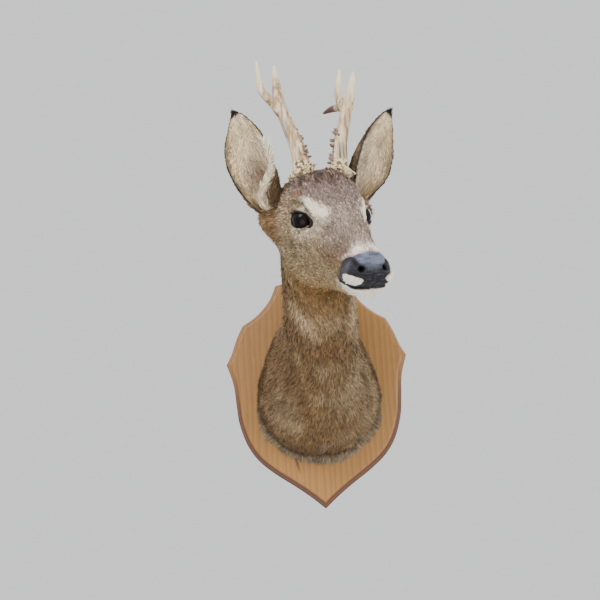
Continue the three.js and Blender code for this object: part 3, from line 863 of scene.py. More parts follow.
def bone_colours(points, side):
    rods = ANTLERS[side]["rods"]
    tips = [np.array(rods[name][-1][:3], float) for name in ("front", "main")]
    to_tip = np.min([np.linalg.norm(points - tip, axis=-1) for tip in tips], axis=0)
    polish = 1 - step(8, 46, to_tip)
    streak = noise(points, (2.2, 2.2, 26.0), 11) + 0.5 * noise(points, (1.1, 1.1, 14.0), 12)
    foot = 1 - step(205, 285, points[:, 2])
    stain = noise(points, (8.0, 8.0, 55.0), 17)
    burr = np.array(ANTLERS[side]["burr"]["at"], float)
    to_burr = np.linalg.norm((points - burr) * [0.85, 0.85, 1.5], axis=-1)
    pits = step(0.0, 0.45, noise(points, 2.6, 14) + 0.6 * noise(points, 1.4, 15))
    knobs = mix(BONE["knob"], BONE["pit"], pits[:, None])
    layers = [
        ("brown", step(-0.2, 0.7, noise(points, 14.0, 13)), 1),
        ("stain", step(0.05, 0.7, stain) * (1 - polish), 0.65),
        ("grey", step(0.05, 0.7, -stain) * (1 - polish), 0.6),
        ("furrow", step(0.1, 0.65, streak) * (0.7 + 0.25 * foot), 1),
        ("ridge", step(0.1, 0.7, -streak), 0.85),
        ("tip", polish, 0.9),
        (knobs, 1 - step(15, 22, to_burr), 0.9),
    ]
    if "hook" in rods:
        gap, share = near_line(points, [row[:3] for row in rods["hook"]])
        # the rear hook is laid dark brown: partly its own colour, partly painted shade for the shadow it
        # lies in behind the beam
        layers.append(("hook", (1 - step(4.5, 7, gap)) * step(0.12, 0.5, share), 0.92))
    return layered(BONE["pale"], BONE, layers)


bone = Finish("antler_bone")
bone_tone = bone.painted()
fine = bone.grain(bone.place(scale=(900, 900, 120)), 1.0, 4.0, 0.65)
pitted = bone.fit(bone.grain(bone.place(), 900.0, 2.0), 0.3, 0.6)
bone_material = bone.done(
    Base_Color=bone.blend(0.5, bone_tone, bone.blend(fine, (0.35, 0.3, 0.25), (1, 1, 1)), "MULTIPLY"),
    Roughness=bone.fit(fine, 0.3, 0.7, 0.42, 0.62),
    Normal=bone.bump(fine * 0.7 + pitted * 0.3, 0.45, 0.0005))
for side, piece in antler_pieces.items():
    paint(piece.data, bone_colours(points_of(piece), side))
    wear(piece, bone_material)
print("bone nodes:", len(bone.tree.nodes))

# %% [markdown]
# ### Pearls
# Pearls stand up the inner side of each beam, largest near the burr. The antler's points
# carry a weight that says where they may grow, and Geometry Nodes place them with a fixed
# seed, turn each along the surface's normal and stretch it.

# %% Where pearls grow
PEARL_SIDE = {"right": 1.0, "left": -1.0}
PEARL_LARGEST = {"right": (2.3, 1.8, 3.2), "left": (3.1, 2.2, 4.8)}
PEARL_REACH, PEARL_RISE = 12, 0.35


def pearl_weight(points, normals, side):
    table = ANTLERS[side]["rods"]["beam"]
    gap, share = near_line(points, [row[:3] for row in table])
    inner = step(0.35, 0.9, normals[:, 0] * PEARL_SIDE[side] - 0.25 * normals[:, 1])
    height = step(0.2, 0.3, share) * (1 - step(0.46, 0.66, share))
    return inner * height * (gap < PEARL_REACH)


def pearl_blank():
    bpy.ops.mesh.primitive_ico_sphere_add(subdivisions=2, radius=MM)
    blank = bpy.context.object
    blank.name = "pearl_blank"
    co = points_of(blank)
    co[:, 2] += PEARL_RISE
    blank.data.vertices.foreach_set("co", flat(co * MM))
    for face in blank.data.polygons:
        face.use_smooth = True
    return blank


print("pearls reach", PEARL_REACH, "mm from the beam")

# %% The pearls' tree
def pearl_tree(material, blank, largest):
    growth = Growth("pearls")
    density = growth.entry("Density", "Float", 30000.0)
    spacing = growth.entry("Spacing", "Float", 0.0034)
    small = growth.entry("Smallest", "Vector", (1.2, 1.1, 1.4))
    large = growth.entry("Largest", "Vector", largest)
    seed = growth.entry("Seed", "Int", 7)
    weight = growth.node("GeometryNodeInputNamedAttribute", {"data_type": "FLOAT"}, Name="pearls")
    scatter = growth.node("GeometryNodeDistributePointsOnFaces", {"distribute_method": "POISSON"},
                          Mesh=growth.start.outputs[0], Distance_Min=spacing, Density_Max=density,
                          Density_Factor=weight.outputs[0], Seed=seed)
    stretch = growth.node("FunctionNodeRandomValue", {"data_type": "FLOAT_VECTOR"},
                          n0=small, n1=large, Seed=seed)
    stand = growth.node("FunctionNodeAlignRotationToVector", {"axis": "Z"},
                        Vector=scatter.outputs["Normal"])
    growth.copies(scatter.outputs[0], "Pearl", blank, material, Rotation=stand.outputs[0],
                  Scale=stretch.outputs[0])
    return growth


PEARL = tint_table(dark="54403a", grey="8d766c", top="d8c8b2")
pearl = Finish("pearl_bone")
pearl_noise = pearl.grain(pearl.place(), 420.0, 3.0)
# painted highlight: each pearl is lightened toward the top tint where its face turns up to the light
pearl_painted_highlight = pearl.fit(pearl.axes(NORMAL)[2], 0.1, 0.9)
pearl_tone = pearl.blend(pearl.fit(pearl_noise, 0.3, 0.7), PEARL["dark"], PEARL["grey"])
pearl_material = pearl.done(
    Base_Color=pearl.blend(pearl_painted_highlight * 0.75, pearl_tone, PEARL["top"]),
    Roughness=pearl.fit(pearl_noise, 0.3, 0.7, 0.45, 0.65),
    Normal=pearl.bump(pearl_noise, 0.3, 0.0003))
print("pearl nodes:", len(pearl.tree.nodes))

# %% Grow the pearls
pearl_pieces = []
for side, piece in antler_pieces.items():
    co = points_of(piece)
    normals = np.empty(len(co) * 3, np.float32)
    piece.data.vertices.foreach_get("normal", normals)
    bed = put_in("pearl_bed", piece.data.copy())
    weights = bed.data.attributes.new("pearls", "FLOAT", "POINT")
    weights.data.foreach_set("value", flat(pearl_weight(co, normals.reshape(-1, 3), side)))
    blank = pearl_blank()
    pearl_pieces.append(pearl_tree(pearl_material, blank, PEARL_LARGEST[side]).grow(bed, "pearls_" + side))
    bpy.data.objects.remove(blank)
    print("pearls", side, len(pearl_pieces[-1].data.polygons), "faces")

# %% [markdown]
# ## The carved form
# Head and neck are one row of cross sections, each given by its top, its underside, its
# half width and how square it is. The head's sections are in the head's own frame: x to the
# side, f forward along the muzzle and u upward, from the point between the eyes. The form
# is drawn straight first, because left and right are then the same sum, and turned, tilted
# and shifted last, less and less down the neck.

# %% Head frame
HEAD_PITCH, HEAD_YAW, HEAD_ROLL = np.radians([29.2, 17.6, 7.1])
HEAD_SHIFT = 6.0
EYE_LINE = np.array([0.0, -263.5, 149.0])
POLL = np.array([0.0, -202.0, 150.0])
FORWARD = np.array([0.0, -np.cos(HEAD_PITCH), -np.sin(HEAD_PITCH)])
UPWARD = np.array([0.0, -np.sin(HEAD_PITCH), np.cos(HEAD_PITCH)])
WORLD_UP = np.array([0.0, 0.0, 1.0])


def straight(h):
    """Head coordinates [x, f, u] to the straight form's place."""
    p = EYE_LINE + h[..., 1:2] * FORWARD + h[..., 2:3] * UPWARD
    p[..., 0] += h[..., 0]
    return p


def head_coordinates(p):
    d = p - EYE_LINE
    return np.stack([p[..., 0], d @ FORWARD, d @ UPWARD], -1)


def spin(p, axis, angle):
    c, s = np.cos(angle)[..., None], np.sin(angle)[..., None]
    return p * c + np.cross(axis, p) * s + axis * (p @ axis)[..., None] * (1 - c)


def turned(p, weight, pivot, lean=1.0):
    w = np.broadcast_to(weight, p.shape[:-1])
    q = spin(p - pivot, FORWARD, HEAD_ROLL * w)
    q = spin(q, WORLD_UP, HEAD_YAW * w) + pivot
    q[..., 0] += HEAD_SHIFT * lean
    return q


def head_point(h):
    """Head coordinates to the finished, turned place."""
    return turned(straight(np.asarray(h, float)), 1.0, POLL)


print("between the eyes:", head_point([0.0, 0.0, 0.0]).round(1))

# %% [markdown]
# ### The row of cross sections
# A carver works from templates of single sections, and so does this form. Each has a top
# and a lower half with their own squareness, as a muzzle is flat on top and round below.

# %% Cross sections of head and neck
# top f, top u, underside f, underside u, half width, height of the widest line, squareness
HEAD_SECTIONS = [
    [121, -38, 119, -52, 9, 0.5, 2.0, 2.0], [118, -30, 113, -62, 17, 0.5, 2.2, 2.1],
    [112, -23, 104, -69, 20.5, 0.5, 2.3, 2.1], [98, -14, 90, -71, 21.5, 0.5, 2.3, 2.1],
    [80, -4, 70, -74, 24, 0.52, 2.2, 2.1], [60, 6, 46, -76, 28, 0.56, 2.2, 2.0],
    [40, 16, 25, -79, 33.5, 0.62, 2.3, 1.9], [20, 25, 6, -81, 38.5, 0.68, 2.5, 1.8],
    [2, 34, -10, -84, 42, 0.7, 2.6, 1.8], [-16, 42, -23, -87, 44.5, 0.68, 2.5, 1.9],
    [-36, 47, -32, -90, 45.5, 0.64, 2.4, 2.0], [-58, 46, -38, -92, 46.5, 0.6, 2.2, 2.0],
    [-78, 39, -42, -93, 46, 0.55, 2.1, 2.0],
]
# the same from the throat to the board, with y and z in place of f and u
NECK_SECTIONS = [
    [-184, 215, -187, 74, 45, 0.5, 2.0, 2.0], [-156, 203, -188, 54, 43.5, 0.48, 2.0, 2.0],
    [-124, 186, -186, 28, 46, 0.46, 2.0, 2.0], [-94, 169, -174, -3, 46.5, 0.44, 2.0, 2.1],
    [-68, 153, -152, -34, 48.5, 0.39, 1.9, 2.1], [-46, 140, -120, -62, 60, 0.36, 1.65, 2.2],
    [-32, 131, -76, -87, 75, 0.32, 1.65, 2.2], [-20.3, 124, -20.3, -95, 84, 0.36, 1.6, 2.0],
]


def all_sections():
    rows = []
    for top_f, top_u, low_f, low_u, *rest in HEAD_SECTIONS:
        top, low = straight(np.array([[0.0, top_f, top_u], [0.0, low_f, low_u]]))
        rows.append([top[1], top[2], low[1], low[2], *rest])
    return np.array(rows + NECK_SECTIONS, float)


SECTIONS = all_sections()
LAST = len(SECTIONS) - 1
print("sections:", len(SECTIONS))

# %% From sections to points
TURN_START = len(HEAD_SECTIONS) + 0.5
LEAN_START = TURN_START + 2.5
TIP_DOME = 1.2


def straight_form(angle, place):
    """Points of the straight form, the middle of their section and the outward direction."""
    inside = np.clip(place, 0, LAST)
    row = (along(column, inside) for column in SECTIONS.T)
    top_y, top_z, low_y, low_z, half, level, square_top, square_low = row
    up = np.stack([0 * top_y, top_y - low_y, top_z - low_z], -1)
    depth = np.linalg.norm(up, axis=-1)
    up = up / depth[..., None]
    centre = np.stack([0 * low_y, low_y, low_z], -1) + up * (level * depth)[..., None]
    c, s = np.cos(angle), np.sin(angle)
    power = 2 / np.where(c >= 0, square_top, square_low)
    reach = np.where(c >= 0, 1 - level, -level) * depth * np.abs(c) ** power
    offset = up * reach[..., None]
    offset[..., 0] += half * np.sign(s) * np.abs(s) ** power
    shrink = np.clip(1 + place, 0, 1)[..., None]
    points = centre + offset * shrink + FORWARD * TIP_DOME * (1 - shrink**2)
    return points, centre, unit(offset)


def twisted(p, place, centre):
    weight, lean = 1 - step(TURN_START, LAST, place), 1 - step(LEAN_START, LAST, place)
    share = step(TURN_START - 1, TURN_START + 2, place)[..., None]
    return turned(p, weight, mix(POLL, centre, share), lean)


print("the turn fades from place", TURN_START)

# %% [markdown]
# ## A grid over the form
# One grid of points carries the skin's shape, its colours and the roots of the hair. Its
# rows run from the nose to the board, closest on nose and eyes, and its columns go round.

# %% Rows and columns
COLUMNS = 248
CAP_ROWS, QUICK_GAP, FINE_STEPS = 16, 1.3, 6001
ROW_GAPS = ([0, 2.5, 3.5, 9.5, 13, 20], [0.75, 0.78, 1.0, 1.2, 2.4, 3.4])  # place, mm


def row_places():
    fine = np.linspace(0, LAST, FINE_STEPS)
    rounds = [straight_form(np.full_like(fine, a), fine)[0] for a in (0.0, math.pi / 2, math.pi)]
    travel = np.max([np.linalg.norm(np.diff(line, axis=0), axis=1) for line in rounds], axis=0)
    gap = np.interp(fine[1:], *ROW_GAPS)
    steps = np.concatenate([[0], np.cumsum(travel / gap)])
    count = int(steps[-1])
    body = np.interp(np.arange(count + 1) * steps[-1] / count, steps, fine)
    return np.concatenate([-1 + (np.arange(CAP_ROWS) + 0.25) / CAP_ROWS, body])


places = row_places()
PLACE, ANGLE = np.meshgrid(places, round_angles(COLUMNS), indexing="ij")
THETA = np.degrees(np.minimum(ANGLE, 2 * math.pi - ANGLE))
form, middle, outward = straight_form(ANGLE, PLACE)
print("grid:", form.shape[:2])

# %% [markdown]
# ## Modelling the head
# The sections give only the large volume. Brow, cheek bone, jaw muscle, ear root, the
# hollow beside the bridge and the wing of the nostril are round swellings, added on both
# sides. The skin then sinks below the solids by the depth of the coat, so that the hair's
# tips, and not the hide, come out where the solids are.

# %% Swellings and depth of the coat
SWELLS = [  # x, f, u, radius, height
    [42, 1, 9, 13, -5.5], [40, -2, -18, 13, 2], [42, -34, -40, 26, 4], [48, -56, -7, 24, 14],
    [57, -58, -4, 13, 5.5], [36, 24, -1, 11, -5], [27, 48, -9, 15, -9.5], [18, 80, -18, 14, -6.5],
    [13, 99, -22, 11, -3], [20, 110, -42, 9, 1],
]
FINER_SWELLS = [
    [47, -50, -8, 15, 3.5], [56, -55, -8, 17, 5.0], [20, 104, -41, 9, 0.7], [0, 117, -34, 9, 0.9],
    [33, 38, -24, 12, 1.0], [25, 66, -34, 11, 0.8], [46, -22, 4, 12, -2.0], [21, 73, -54, 4, -0.9],
    [12, -30, 46, 9, -1.2], [15, 80, -16, 10, -0.6],
]


def swelling(h, table):
    side, total = np.abs(h[..., 0]), 0
    for x, f, u, radius, height in table:
        gap = np.sqrt((side - x) ** 2 + (h[..., 1] - f) ** 2 + (h[..., 2] - u) ** 2)
        total = total + height * bell(gap, radius)
    return total


def outward_normals(points):
    """Unit normals of a grid of points that goes round in its columns."""
    across = np.roll(points, -1, 1) - np.roll(points, 1, 1)
    normals = unit(np.cross(across, np.gradient(points, axis=0)))
    return normals * np.sign((normals * (points - points.mean(1, keepdims=True))).sum(-1).mean())


form = form + outward * swelling(head_coordinates(form), SWELLS)[..., None]
normal = outward_normals(form)
HEAD = head_coordinates(form)
side_x, ahead_f, high_u = np.abs(HEAD[..., 0]), HEAD[..., 1], HEAD[..., 2]
COAT_DEPTHS = ([-1, 1.5, 3.5, 6, 8, 10, 12, 14, 17, 19, 20],  # place, mm
               [0.0, 0.3, 0.9, 1.4, 2.0, 2.6, 3.6, 5.5, 7.0, 5.5, 4.0])
coat_depth = np.interp(PLACE, *COAT_DEPTHS)
print("coat depth from", coat_depth.min(), "to", coat_depth.max(), "mm")

# %% [markdown]
# ### Nose and mouth
# The leather of the nose is bare and black. It runs over the front of the muzzle and back
# along the upper lip, round two white patches of hair. Each nostril is a hole with a furrow
# that curls up and outward from it. The mouth is a shut line with the upper lip over it.

# %% The white patch of the lip
NOSE_EDGE = ([0, 20, 34, 50, 62, 78, 92, 104, 114, 180], [110, 109, 106.5, 102, 96, 90, 87, 84, 79, 79])
MOUTH = ([60, 77, 92, 110, 119], [-53.8, -54.6, -56, -56.5, -57])
NOSTRIL, NOSTRIL_STRETCH = np.array([12.0, 118.4, -38.0]), np.array([1.05, 1.0, 0.85])
FURROW = [[18.6, 105.0, -27.5], [17.2, 108.5, -29.6], [15.0, 114.0, -33.4], [12.6, 118.4, -37.0]]
WHITE_PATCH = dict(middle=(16.8, 110.0, -48.6), along=(-10.9, 23.5, -1.0), long=10.8, high=3.6)
LEFT_BACK, LEFT_SHORTER = 0.5, 2.0  # the patch on the buck's own left


def mirrored(h):
    m = h.copy()
    m[..., 0] = np.abs(m[..., 0])
    return m


def white_patch(h):
    """1 at the edge of the white patch of the lip, less inside it."""
    lengthwise = unit(np.array(WHITE_PATCH["along"], float))
    upward = unit(np.array([0, 0, 1.0]) - lengthwise * lengthwise[2])
    d = mirrored(h) - WHITE_PATCH["middle"]
    own_left = step(-1.0, 1.0, h[..., 0])
    run = d @ lengthwise + LEFT_BACK * own_left
    long = WHITE_PATCH["long"] - LEFT_SHORTER * own_left
    return np.hypot(run / long, (d @ upward) / WHITE_PATCH["high"])


patch = white_patch(HEAD)
print("grid points in the patches:", int((patch < 1).sum()))

# %% Leather, nostrils and lips
above_mouth = high_u - np.interp(ahead_f, *MOUTH)
in_leather = (ahead_f - np.interp(THETA, *NOSE_EDGE) - 1.4 * step(75, 40, THETA)
              + 0.7 * noise(HEAD, 3.6, 21))
leather = step(-0.5, 0.9, in_leather) * step(-2.2, -1.2, above_mouth) * step(0.92, 1.06, patch)
lip_line = bell(above_mouth - 0.3, 3.2) * step(75, 80, ahead_f)
leather = np.maximum(leather, step(0.35, 0.65, lip_line) * step(0.92, 1.06, patch))
hole = np.linalg.norm((mirrored(HEAD) - NOSTRIL) / NOSTRIL_STRETCH, axis=-1)
furrow_gap, furrow_share = near_line(mirrored(HEAD), FURROW)

nose_relief = (
    -3.0 * bell(furrow_gap, 2.2) * (0.6 + 0.4 * furrow_share)
    - 8.5 * (1 - step(0.6, 4.0, hole))
    + 0.8 * bell(hole - 5.0, 1.8)
    - 0.9 * bell(side_x, 0.9) * step(-36, -42, high_u) * step(108, 114, ahead_f)
    + 0.9 * (1 - step(0.5, 1.1, patch))
    - 2.4 * bell(above_mouth, 0.9) * step(75, 82, ahead_f)
    + 0.8 * bell(above_mouth - 3.6, 2.6) * step(78, 92, ahead_f)
    + 0.4 * bell(above_mouth + 3.0, 2.2) * step(78, 92, ahead_f)
)
relief = nose_relief + swelling(HEAD, FINER_SWELLS)
print("leather covers", int(leather.sum()), "grid points")

# %% [markdown]
# ### Sockets and lids
# An eye is a ball, and the lids lie on it. So near each eye the skin is laid on a slightly
# larger ball, then eased back into the form further out. Inside the almond of the opening
# it dives behind the glass. The fold over the upper lid is a shallow furrow.

# %% Eye openings
EYE_RADIUS, LID_THICK, LID_RECESS = 13.4, 1.1, 2.6
EYE_CENTRE, EYE_LOOK, EYE_TILT = (30.9, 2.1, -4.1), (0.78, 0.61, 0.1), math.radians(3)
NO_EYE = 9.0  # share of the opening where no eye is near
LID_FOLD = [[39.5, -10.0, 12.0], [37.0, -3.0, 14.4], [34.8, 9.0, 11.8], [33.3, 17.0, 7.9],
            [30.5, 24.0, 2.5]]


def eye_axes(sign):
    centre = np.array([sign * EYE_CENTRE[0], *EYE_CENTRE[1:]])
    look = unit(np.array([sign * EYE_LOOK[0], *EYE_LOOK[1:]]))
    fore = unit(np.array([0, 1.0, 0]) - look * look[1])
    lift = np.cross(fore, look)
    lift *= np.sign(lift[2])
    c, s = math.cos(EYE_TILT), math.sin(EYE_TILT)
    return centre, look, fore * c - lift * s, lift * c + fore * s


def almond(t):
    """The opening's edge seen along the eye's look: fore and up, in mm."""
    c, s = np.cos(t), np.sin(t)
    corner, rear = step(0.78, 1.0, c), step(0.8, 1.0, -c)
    fore = 12.4 * c + 3.4 * corner - 0.6 * rear
    up = np.where(s > 0, 8.7 * np.abs(s) ** 0.85, -7.6 * np.abs(s) ** 0.9) - 2.2 * corner + 0.5 * rear
    return fore, up


edge_t = np.linspace(0, 2 * math.pi, 721)
edge_fore, edge_up = almond(edge_t)
edge_angle, edge_reach = np.unwrap(np.arctan2(edge_up, edge_fore)), np.hypot(edge_fore, edge_up)


def opening_share(fore, up):
    """0 in the middle of the opening, 1 on its edge and more outside."""
    a = np.mod(np.arctan2(up, fore) - edge_angle[0], 2 * math.pi) + edge_angle[0]
    return np.hypot(fore, up) / np.interp(a, edge_angle, edge_reach)


def eye_view(h, sign):
    """How far points are fore of, over and out from the middle of an eye."""
    centre, look, fore, lift = eye_axes(sign)
    d = h - centre
    return d @ fore, d @ lift, d @ look


def from_eye(sign, a, b, c):
    """The way back: points that lie a fore of, b over and c out from an eye's middle."""
    centre, look, fore, lift = eye_axes(sign)
    return centre + a[..., None] * fore + b[..., None] * lift + c[..., None] * look


def share_round(sign):
    a, b, c = eye_view(HEAD, sign)
    own_side = (c > -2) & (np.sign(HEAD[..., 0]) == sign)
    return np.where(own_side, opening_share(a, b), NO_EYE)


eye_share = np.minimum(share_round(1), share_round(-1))
print("opening", round(np.ptp(edge_fore), 1), "mm long")

# %% Skin laid round the glass
def powers(a, b):
    return np.stack([a**i * b**j for i in range(4) for j in range(4 - i)], -1)


def surface_fit(h, sign):
    """The form's own height over the eye's plane, as a smooth sum of powers."""
    a, b, c = eye_view(h, sign)
    near = (np.hypot(a, b) < 25) & (c > 0) & (np.sign(h[..., 0]) == sign)
    weights = np.linalg.lstsq(powers(a[near], b[near]), c[near], rcond=None)[0]
    return lambda a, b: powers(a, b) @ weights


def ball_height(a, b, radius):
    return np.sqrt(np.maximum(radius**2 - a**2 - b**2, 0))


def lid_height(a, b, own, q):
    """The lid on its ball, eased into the form's own height further out."""
    lid = np.maximum(ball_height(a, b, EYE_RADIUS + LID_THICK), own - LID_RECESS)
    return mix(own, lid, 1 - step(1.1, 2.1, q))


def socketed(h, sign):
    """Head coordinates with the skin laid round one eye."""
    look = eye_axes(sign)[1]
    a, b, c = eye_view(h, sign)
    q = opening_share(a, b)
    lid = lid_height(a, b, c, q)
    behind = np.maximum(ball_height(a, b, EYE_RADIUS) - 3.5, lid - 3.0)
    wanted = np.where(q < 1, mix(behind, lid, step(0.9, 1.0, q)), lid)
    near = (c > -2) & (np.hypot(a, b) < 29) & (np.sign(h[..., 0]) == sign)
    return h + np.where(near, wanted - c, 0)[..., None] * look, np.where(near, q, NO_EYE)


relief = relief - 0.9 * bell(near_line(mirrored(HEAD), LID_FOLD)[0], 1.4)
coat_depth = coat_depth * (0.35 + 0.65 * step(1.1, 2.4, eye_share)) * step(0.4, 0.0, leather)
soft_lumps = (1.1 * noise(form, 34.0, 31) * step(10, 15, PLACE)
              + 0.35 * noise(form, 9.0, 32) * step(3, 8, PLACE))
skin_form = form + normal * (relief - coat_depth - 0.9 * leather + soft_lumps)[..., None]
skin_head = head_coordinates(skin_form)
eye_fits = {sign: surface_fit(skin_head, sign) for sign in (1, -1)}
for sign in (1, -1):
    skin_head, share = socketed(skin_head, sign)
    eye_share = np.minimum(eye_share, share)
on_head = (PLACE < 12)[..., None]
skin_form = np.where(on_head, straight(skin_head), skin_form)
skin_points = twisted(skin_form, PLACE, middle)
skin_normals = outward_normals(skin_points)
print("skin box", skin_points.min((0, 1)).round(1), skin_points.max((0, 1)).round(1))

# %% [markdown]
# ## Markings
# A roe's coat is a few plain tints that run into each other: mauve grey on the forehead and
# bridge, olive brown on the cheeks, cream over the eyes and on the throat, white on chin
# and lip, brown down the neck. Each is laid over the last by a soft mask in the head's own
# coordinates, so the same sums colour the skin, the hair and the far side alike. Some
# layers are painted shade: the dark crease over each eye, part of the tan under the jaw and
# the dark band at the board. Paler tints on the side of the neck that the lamps light less
# are painted light.

# %% Tints of the coat and soft masks
COAT = tint_table(
    neck="785a35", neck_dark="513920", ash="9f8863", rim="3a220a", fringe="8f7f65",
    cheek="927d5e", jaw="a88c62", bridge="978577", forehead="826f69", muzzle="74553d",
    cream="ffecd2", eye_pale="d3bfa6", spot="4a3220", pale_band="fae6d9", tuft="553f32",
    orange="9c7044", under_jaw="93703f", throat_tan="a58a66", throat_cream="cbb087",
    white="eae1d3", ear_root="7d582d", nape="795c3a", chin_shade="c6b296", temple="ab9072",
    fold="746f59")
BROW = [[35.5, 9.0, 13.0], [31.0, 19.0, 11.0], [26.5, 29.0, 8.0], [22.0, 40.0, 4.0]]
UNDER_EYE = [[42.0, -2.0, -14.5], [39.0, 12.0, -17.5], [35.0, 26.0, -15.0], [29.0, 37.0, -9.0],
             [24.5, 42.0, -1.0]]
NECK_ROUND = 42  # mean radius of the neck, which turns the angle round it into millimetres

travel = np.linalg.norm(np.diff(form, axis=0), axis=-1).mean(1)
travel = np.concatenate([[0], np.cumsum(travel)])[:, None] + 0 * ANGLE
FLOW = np.stack([NECK_ROUND * np.cos(ANGLE), NECK_ROUND * np.sin(ANGLE), travel], -1)
ragged = 0.6 * noise(FLOW, (3.0, 3.0, 7.0), 45) + 0.4 * noise(FLOW, (7.0, 7.0, 14.0), 46)


def around(h, spot, radius, stretch=(1, 1, 1)):
    """Soft round mask on both sides of the head."""
    return bell(np.linalg.norm((mirrored(h) - spot) / stretch, axis=-1), radius)


def line_mask(h, line, inner, outer):
    return 1 - step(inner, outer, near_line(mirrored(h), line)[0])


def rough(mask, amount=0.35):
    """Lets the hair break up the edge of a soft mask."""
    return np.clip(mask + amount * ragged * 4 * mask * (1 - mask), 0, 1)


print("way along the skin", round(float(travel.max())), "mm")

# %% The neck
def neck_layers(place, theta, points):
    x, below = points[..., 0], step(120, 165, theta)
    return [
        ("nape", step(13, 16, place) * (1 - below), 0.6),
        ("neck_dark", bell(place - 15.6, 0.7) * below, 0.4),
        ("ash", bell(place - 17.0, 0.6) * bell(x - 34, 34) * step(100, 135, theta), 0.85),
        ("ash", bell(place - 18.2, 0.5) * bell(theta - 128, 24) * step(0, -30, x), 0.6),
        # painted light: ash and cream are laid on the side of the neck at +x, which the lamps light less,
        # to lighten it
        ("ash", step(16, 17, place) * step(24, 62, x) * step(60, 95, theta), 0.5),
        ("throat_cream", bell(place - 15.0, 1.0) * step(22, 42, x) * step(45, 85, theta), 0.7),
        # painted shade: a dark band all round where the neck meets the board
        ("rim", rough(step(18.7, 19.5, place)), 0.6),
        ("neck_dark", step(0.0, 0.8, noise(points, 27.0, 41)) * step(13.6, 15, place), 0.4),
        ("ash", step(0.1, 0.8, noise(points, 17.0, 42)) * step(14, 15, place), 0.4),
        ("throat_cream", rough(bell(theta - 131, 19) * bell(place - 14.75, 0.45)), 0.85),
        # partly the coat's own tan, partly painted shade in the throat corner under the jaw
        ("throat_tan", bell(place - 14.1, 0.55) * step(140, 168, theta), 0.7),
        ("fringe", step(19.6, 19.72, place) * step(90, 120, theta), 1),
    ]


coat_tint = layered(np.broadcast_to(COAT["neck"], form.shape), COAT, neck_layers(PLACE, THETA, form))
print("mean tint of the neck", coat_tint.mean((0, 1)).round(3))

# %% The head
def head_layers(h, place, theta):
    f, u = h[..., 1], h[..., 2]
    head = 1 - step(10.8, 14.2, place)
    edge = f - np.interp(theta, *NOSE_EDGE)
    mouth_gap = u - np.interp(f, *MOUTH)
    chin = step(0.5, -1.5, mouth_gap) * step(68, 80, f) * head
    return [
        ("cheek", head, 1),
        ("jaw", head * step(-45, -75, u), 0.8),
        ("forehead", head * step(98, 58, theta) * step(11.5, 9.5, place), 0.95),
        ("bridge", head * step(84, 44, theta) * step(26, 48, f), 0.9),
        ("muzzle", around(h, (24, 74, -34), 17, (1, 1.2, 1)), 0.7),
        ("bridge", around(h, (27, 58, -12), 16), 0.35),
        ("temple", rough(around(h, (45, -20, 6), 15, (1, 1, 1.5))), 0.7),
        ("orange", around(h, (37, -3, 20), 9), 0.6),
        ("ear_root", rough(step(-30, -38, f) * step(-42, -24, u) * step(13, 11.5, place)), 0.75),
        ("tuft", around(h, (42, -52, 24), 14), 0.8),
        ("eye_pale", rough(line_mask(h, UNDER_EYE, 1.0, 17.0)), 0.6),
        ("cream", rough(line_mask(h, BROW, 0.5, 12.0), 0.9), 0.95),
        ("throat_cream", around(h, (39, -1, 10), 6), 0.6),
        # painted shade: a darker grey band along the crease over the upper lid
        ("fold", line_mask(h, LID_FOLD, 0.8, 3.8), 0.95),
        ("spot", rough(around(h, (42, -9, -28), 6)), 0.85),
        ("tuft", rough(around(h, (18, -14, 38), 14, (1.25, 1, 1)), 0.6), 0.85),
        ("tuft", rough(around(h, (0, -11, 39), 13), 0.6), 0.75),
        ("pale_band", rough(step(-9, -4, edge) * step(52, 34, theta)), 0.3),
        ("pale_band", rough(around(h, (10, 104, -23), 8.5, (1.3, 1, 1))), 0.9),
        ("pale_band", step(-6, -3, edge) * step(46, 62, theta) * step(84, 70, theta), 0.3),
        # partly the coat's own tan, partly painted shade: darker tan under the jaw and in the throat corner
        ("under_jaw", head * step(150, 172, theta) * step(52, 30, f), 0.7),
        ("under_jaw", step(11.2, 12.2, place) * step(14.2, 13.2, place) * step(128, 152, theta), 0.7),
        ("chin_shade", rough(chin), 0.85),
        ("white", chin * step(78, 88, f), 0.95),
        ("white", step(1.1, 0.95, white_patch(h)) * head, 1),
    ]


coat_tint = layered(coat_tint, COAT, head_layers(HEAD, PLACE, THETA))
print("mean tint", coat_tint.mean((0, 1)).round(3))

# %% Grizzle of crown and cheeks
crown = np.maximum(around(HEAD, (18, -18, 40), 16), around(HEAD, (0, -15, 41), 16)) * (PLACE < 12)
grizzle = ((0.34 + 1.1 * crown) * noise(FLOW, (1.8, 1.8, 4.6), 47)
           + 0.16 * noise(FLOW, (4.5, 4.5, 9.0), 48))
calm_on_pale = 1 - 0.7 * step(0.42, 0.7, coat_tint.mean(-1))
coat_tint *= (1 + np.clip(grizzle, -0.65, 1.2) * calm_on_pale)[..., None]
print("most grizzle", grizzle.max().round(2))

# %% [markdown]
# ## Ears
# An ear is a leaf of gristle rolled into a cup: nearly a tube at its root, open along one
# side and flat at its tip. Each row of the table is a share of its length with the cup's
# radius, how far it wraps and how thick it is. Outer and inner face are one closed shell.

# %% Ear shells
EAR_ROWS = np.array([
    [0.0, 15, 162, 3.6], [0.1, 18.5, 144, 3.4], [0.22, 22.5, 120, 3.2], [0.36, 25.5, 98, 3],
    [0.52, 26.5, 86, 2.8], [0.68, 25, 74, 2.6], [0.82, 20, 62, 2.4], [0.93, 13, 54, 2.1],
    [1.0, 4.5, 48, 1.4],
])
EARS = {
    "right": dict(root=(-42, -222, 174), tip=(-81, -236, 297), faces=(-0.4, -0.9, 0.1),
                  bow=4, inward=8, turn=62, spills=1.0, slim=0.0),
    "left": dict(root=(37, -187, 191), tip=(103, -212, 303), faces=(0.72, -0.68, 0.1),
                 bow=3, inward=-6, turn=0, spills=0.15, slim=0.16),
}
EAR_STEPS, EAR_ARC, EAR_SKIN_SUNK = 76, 48, 0.6


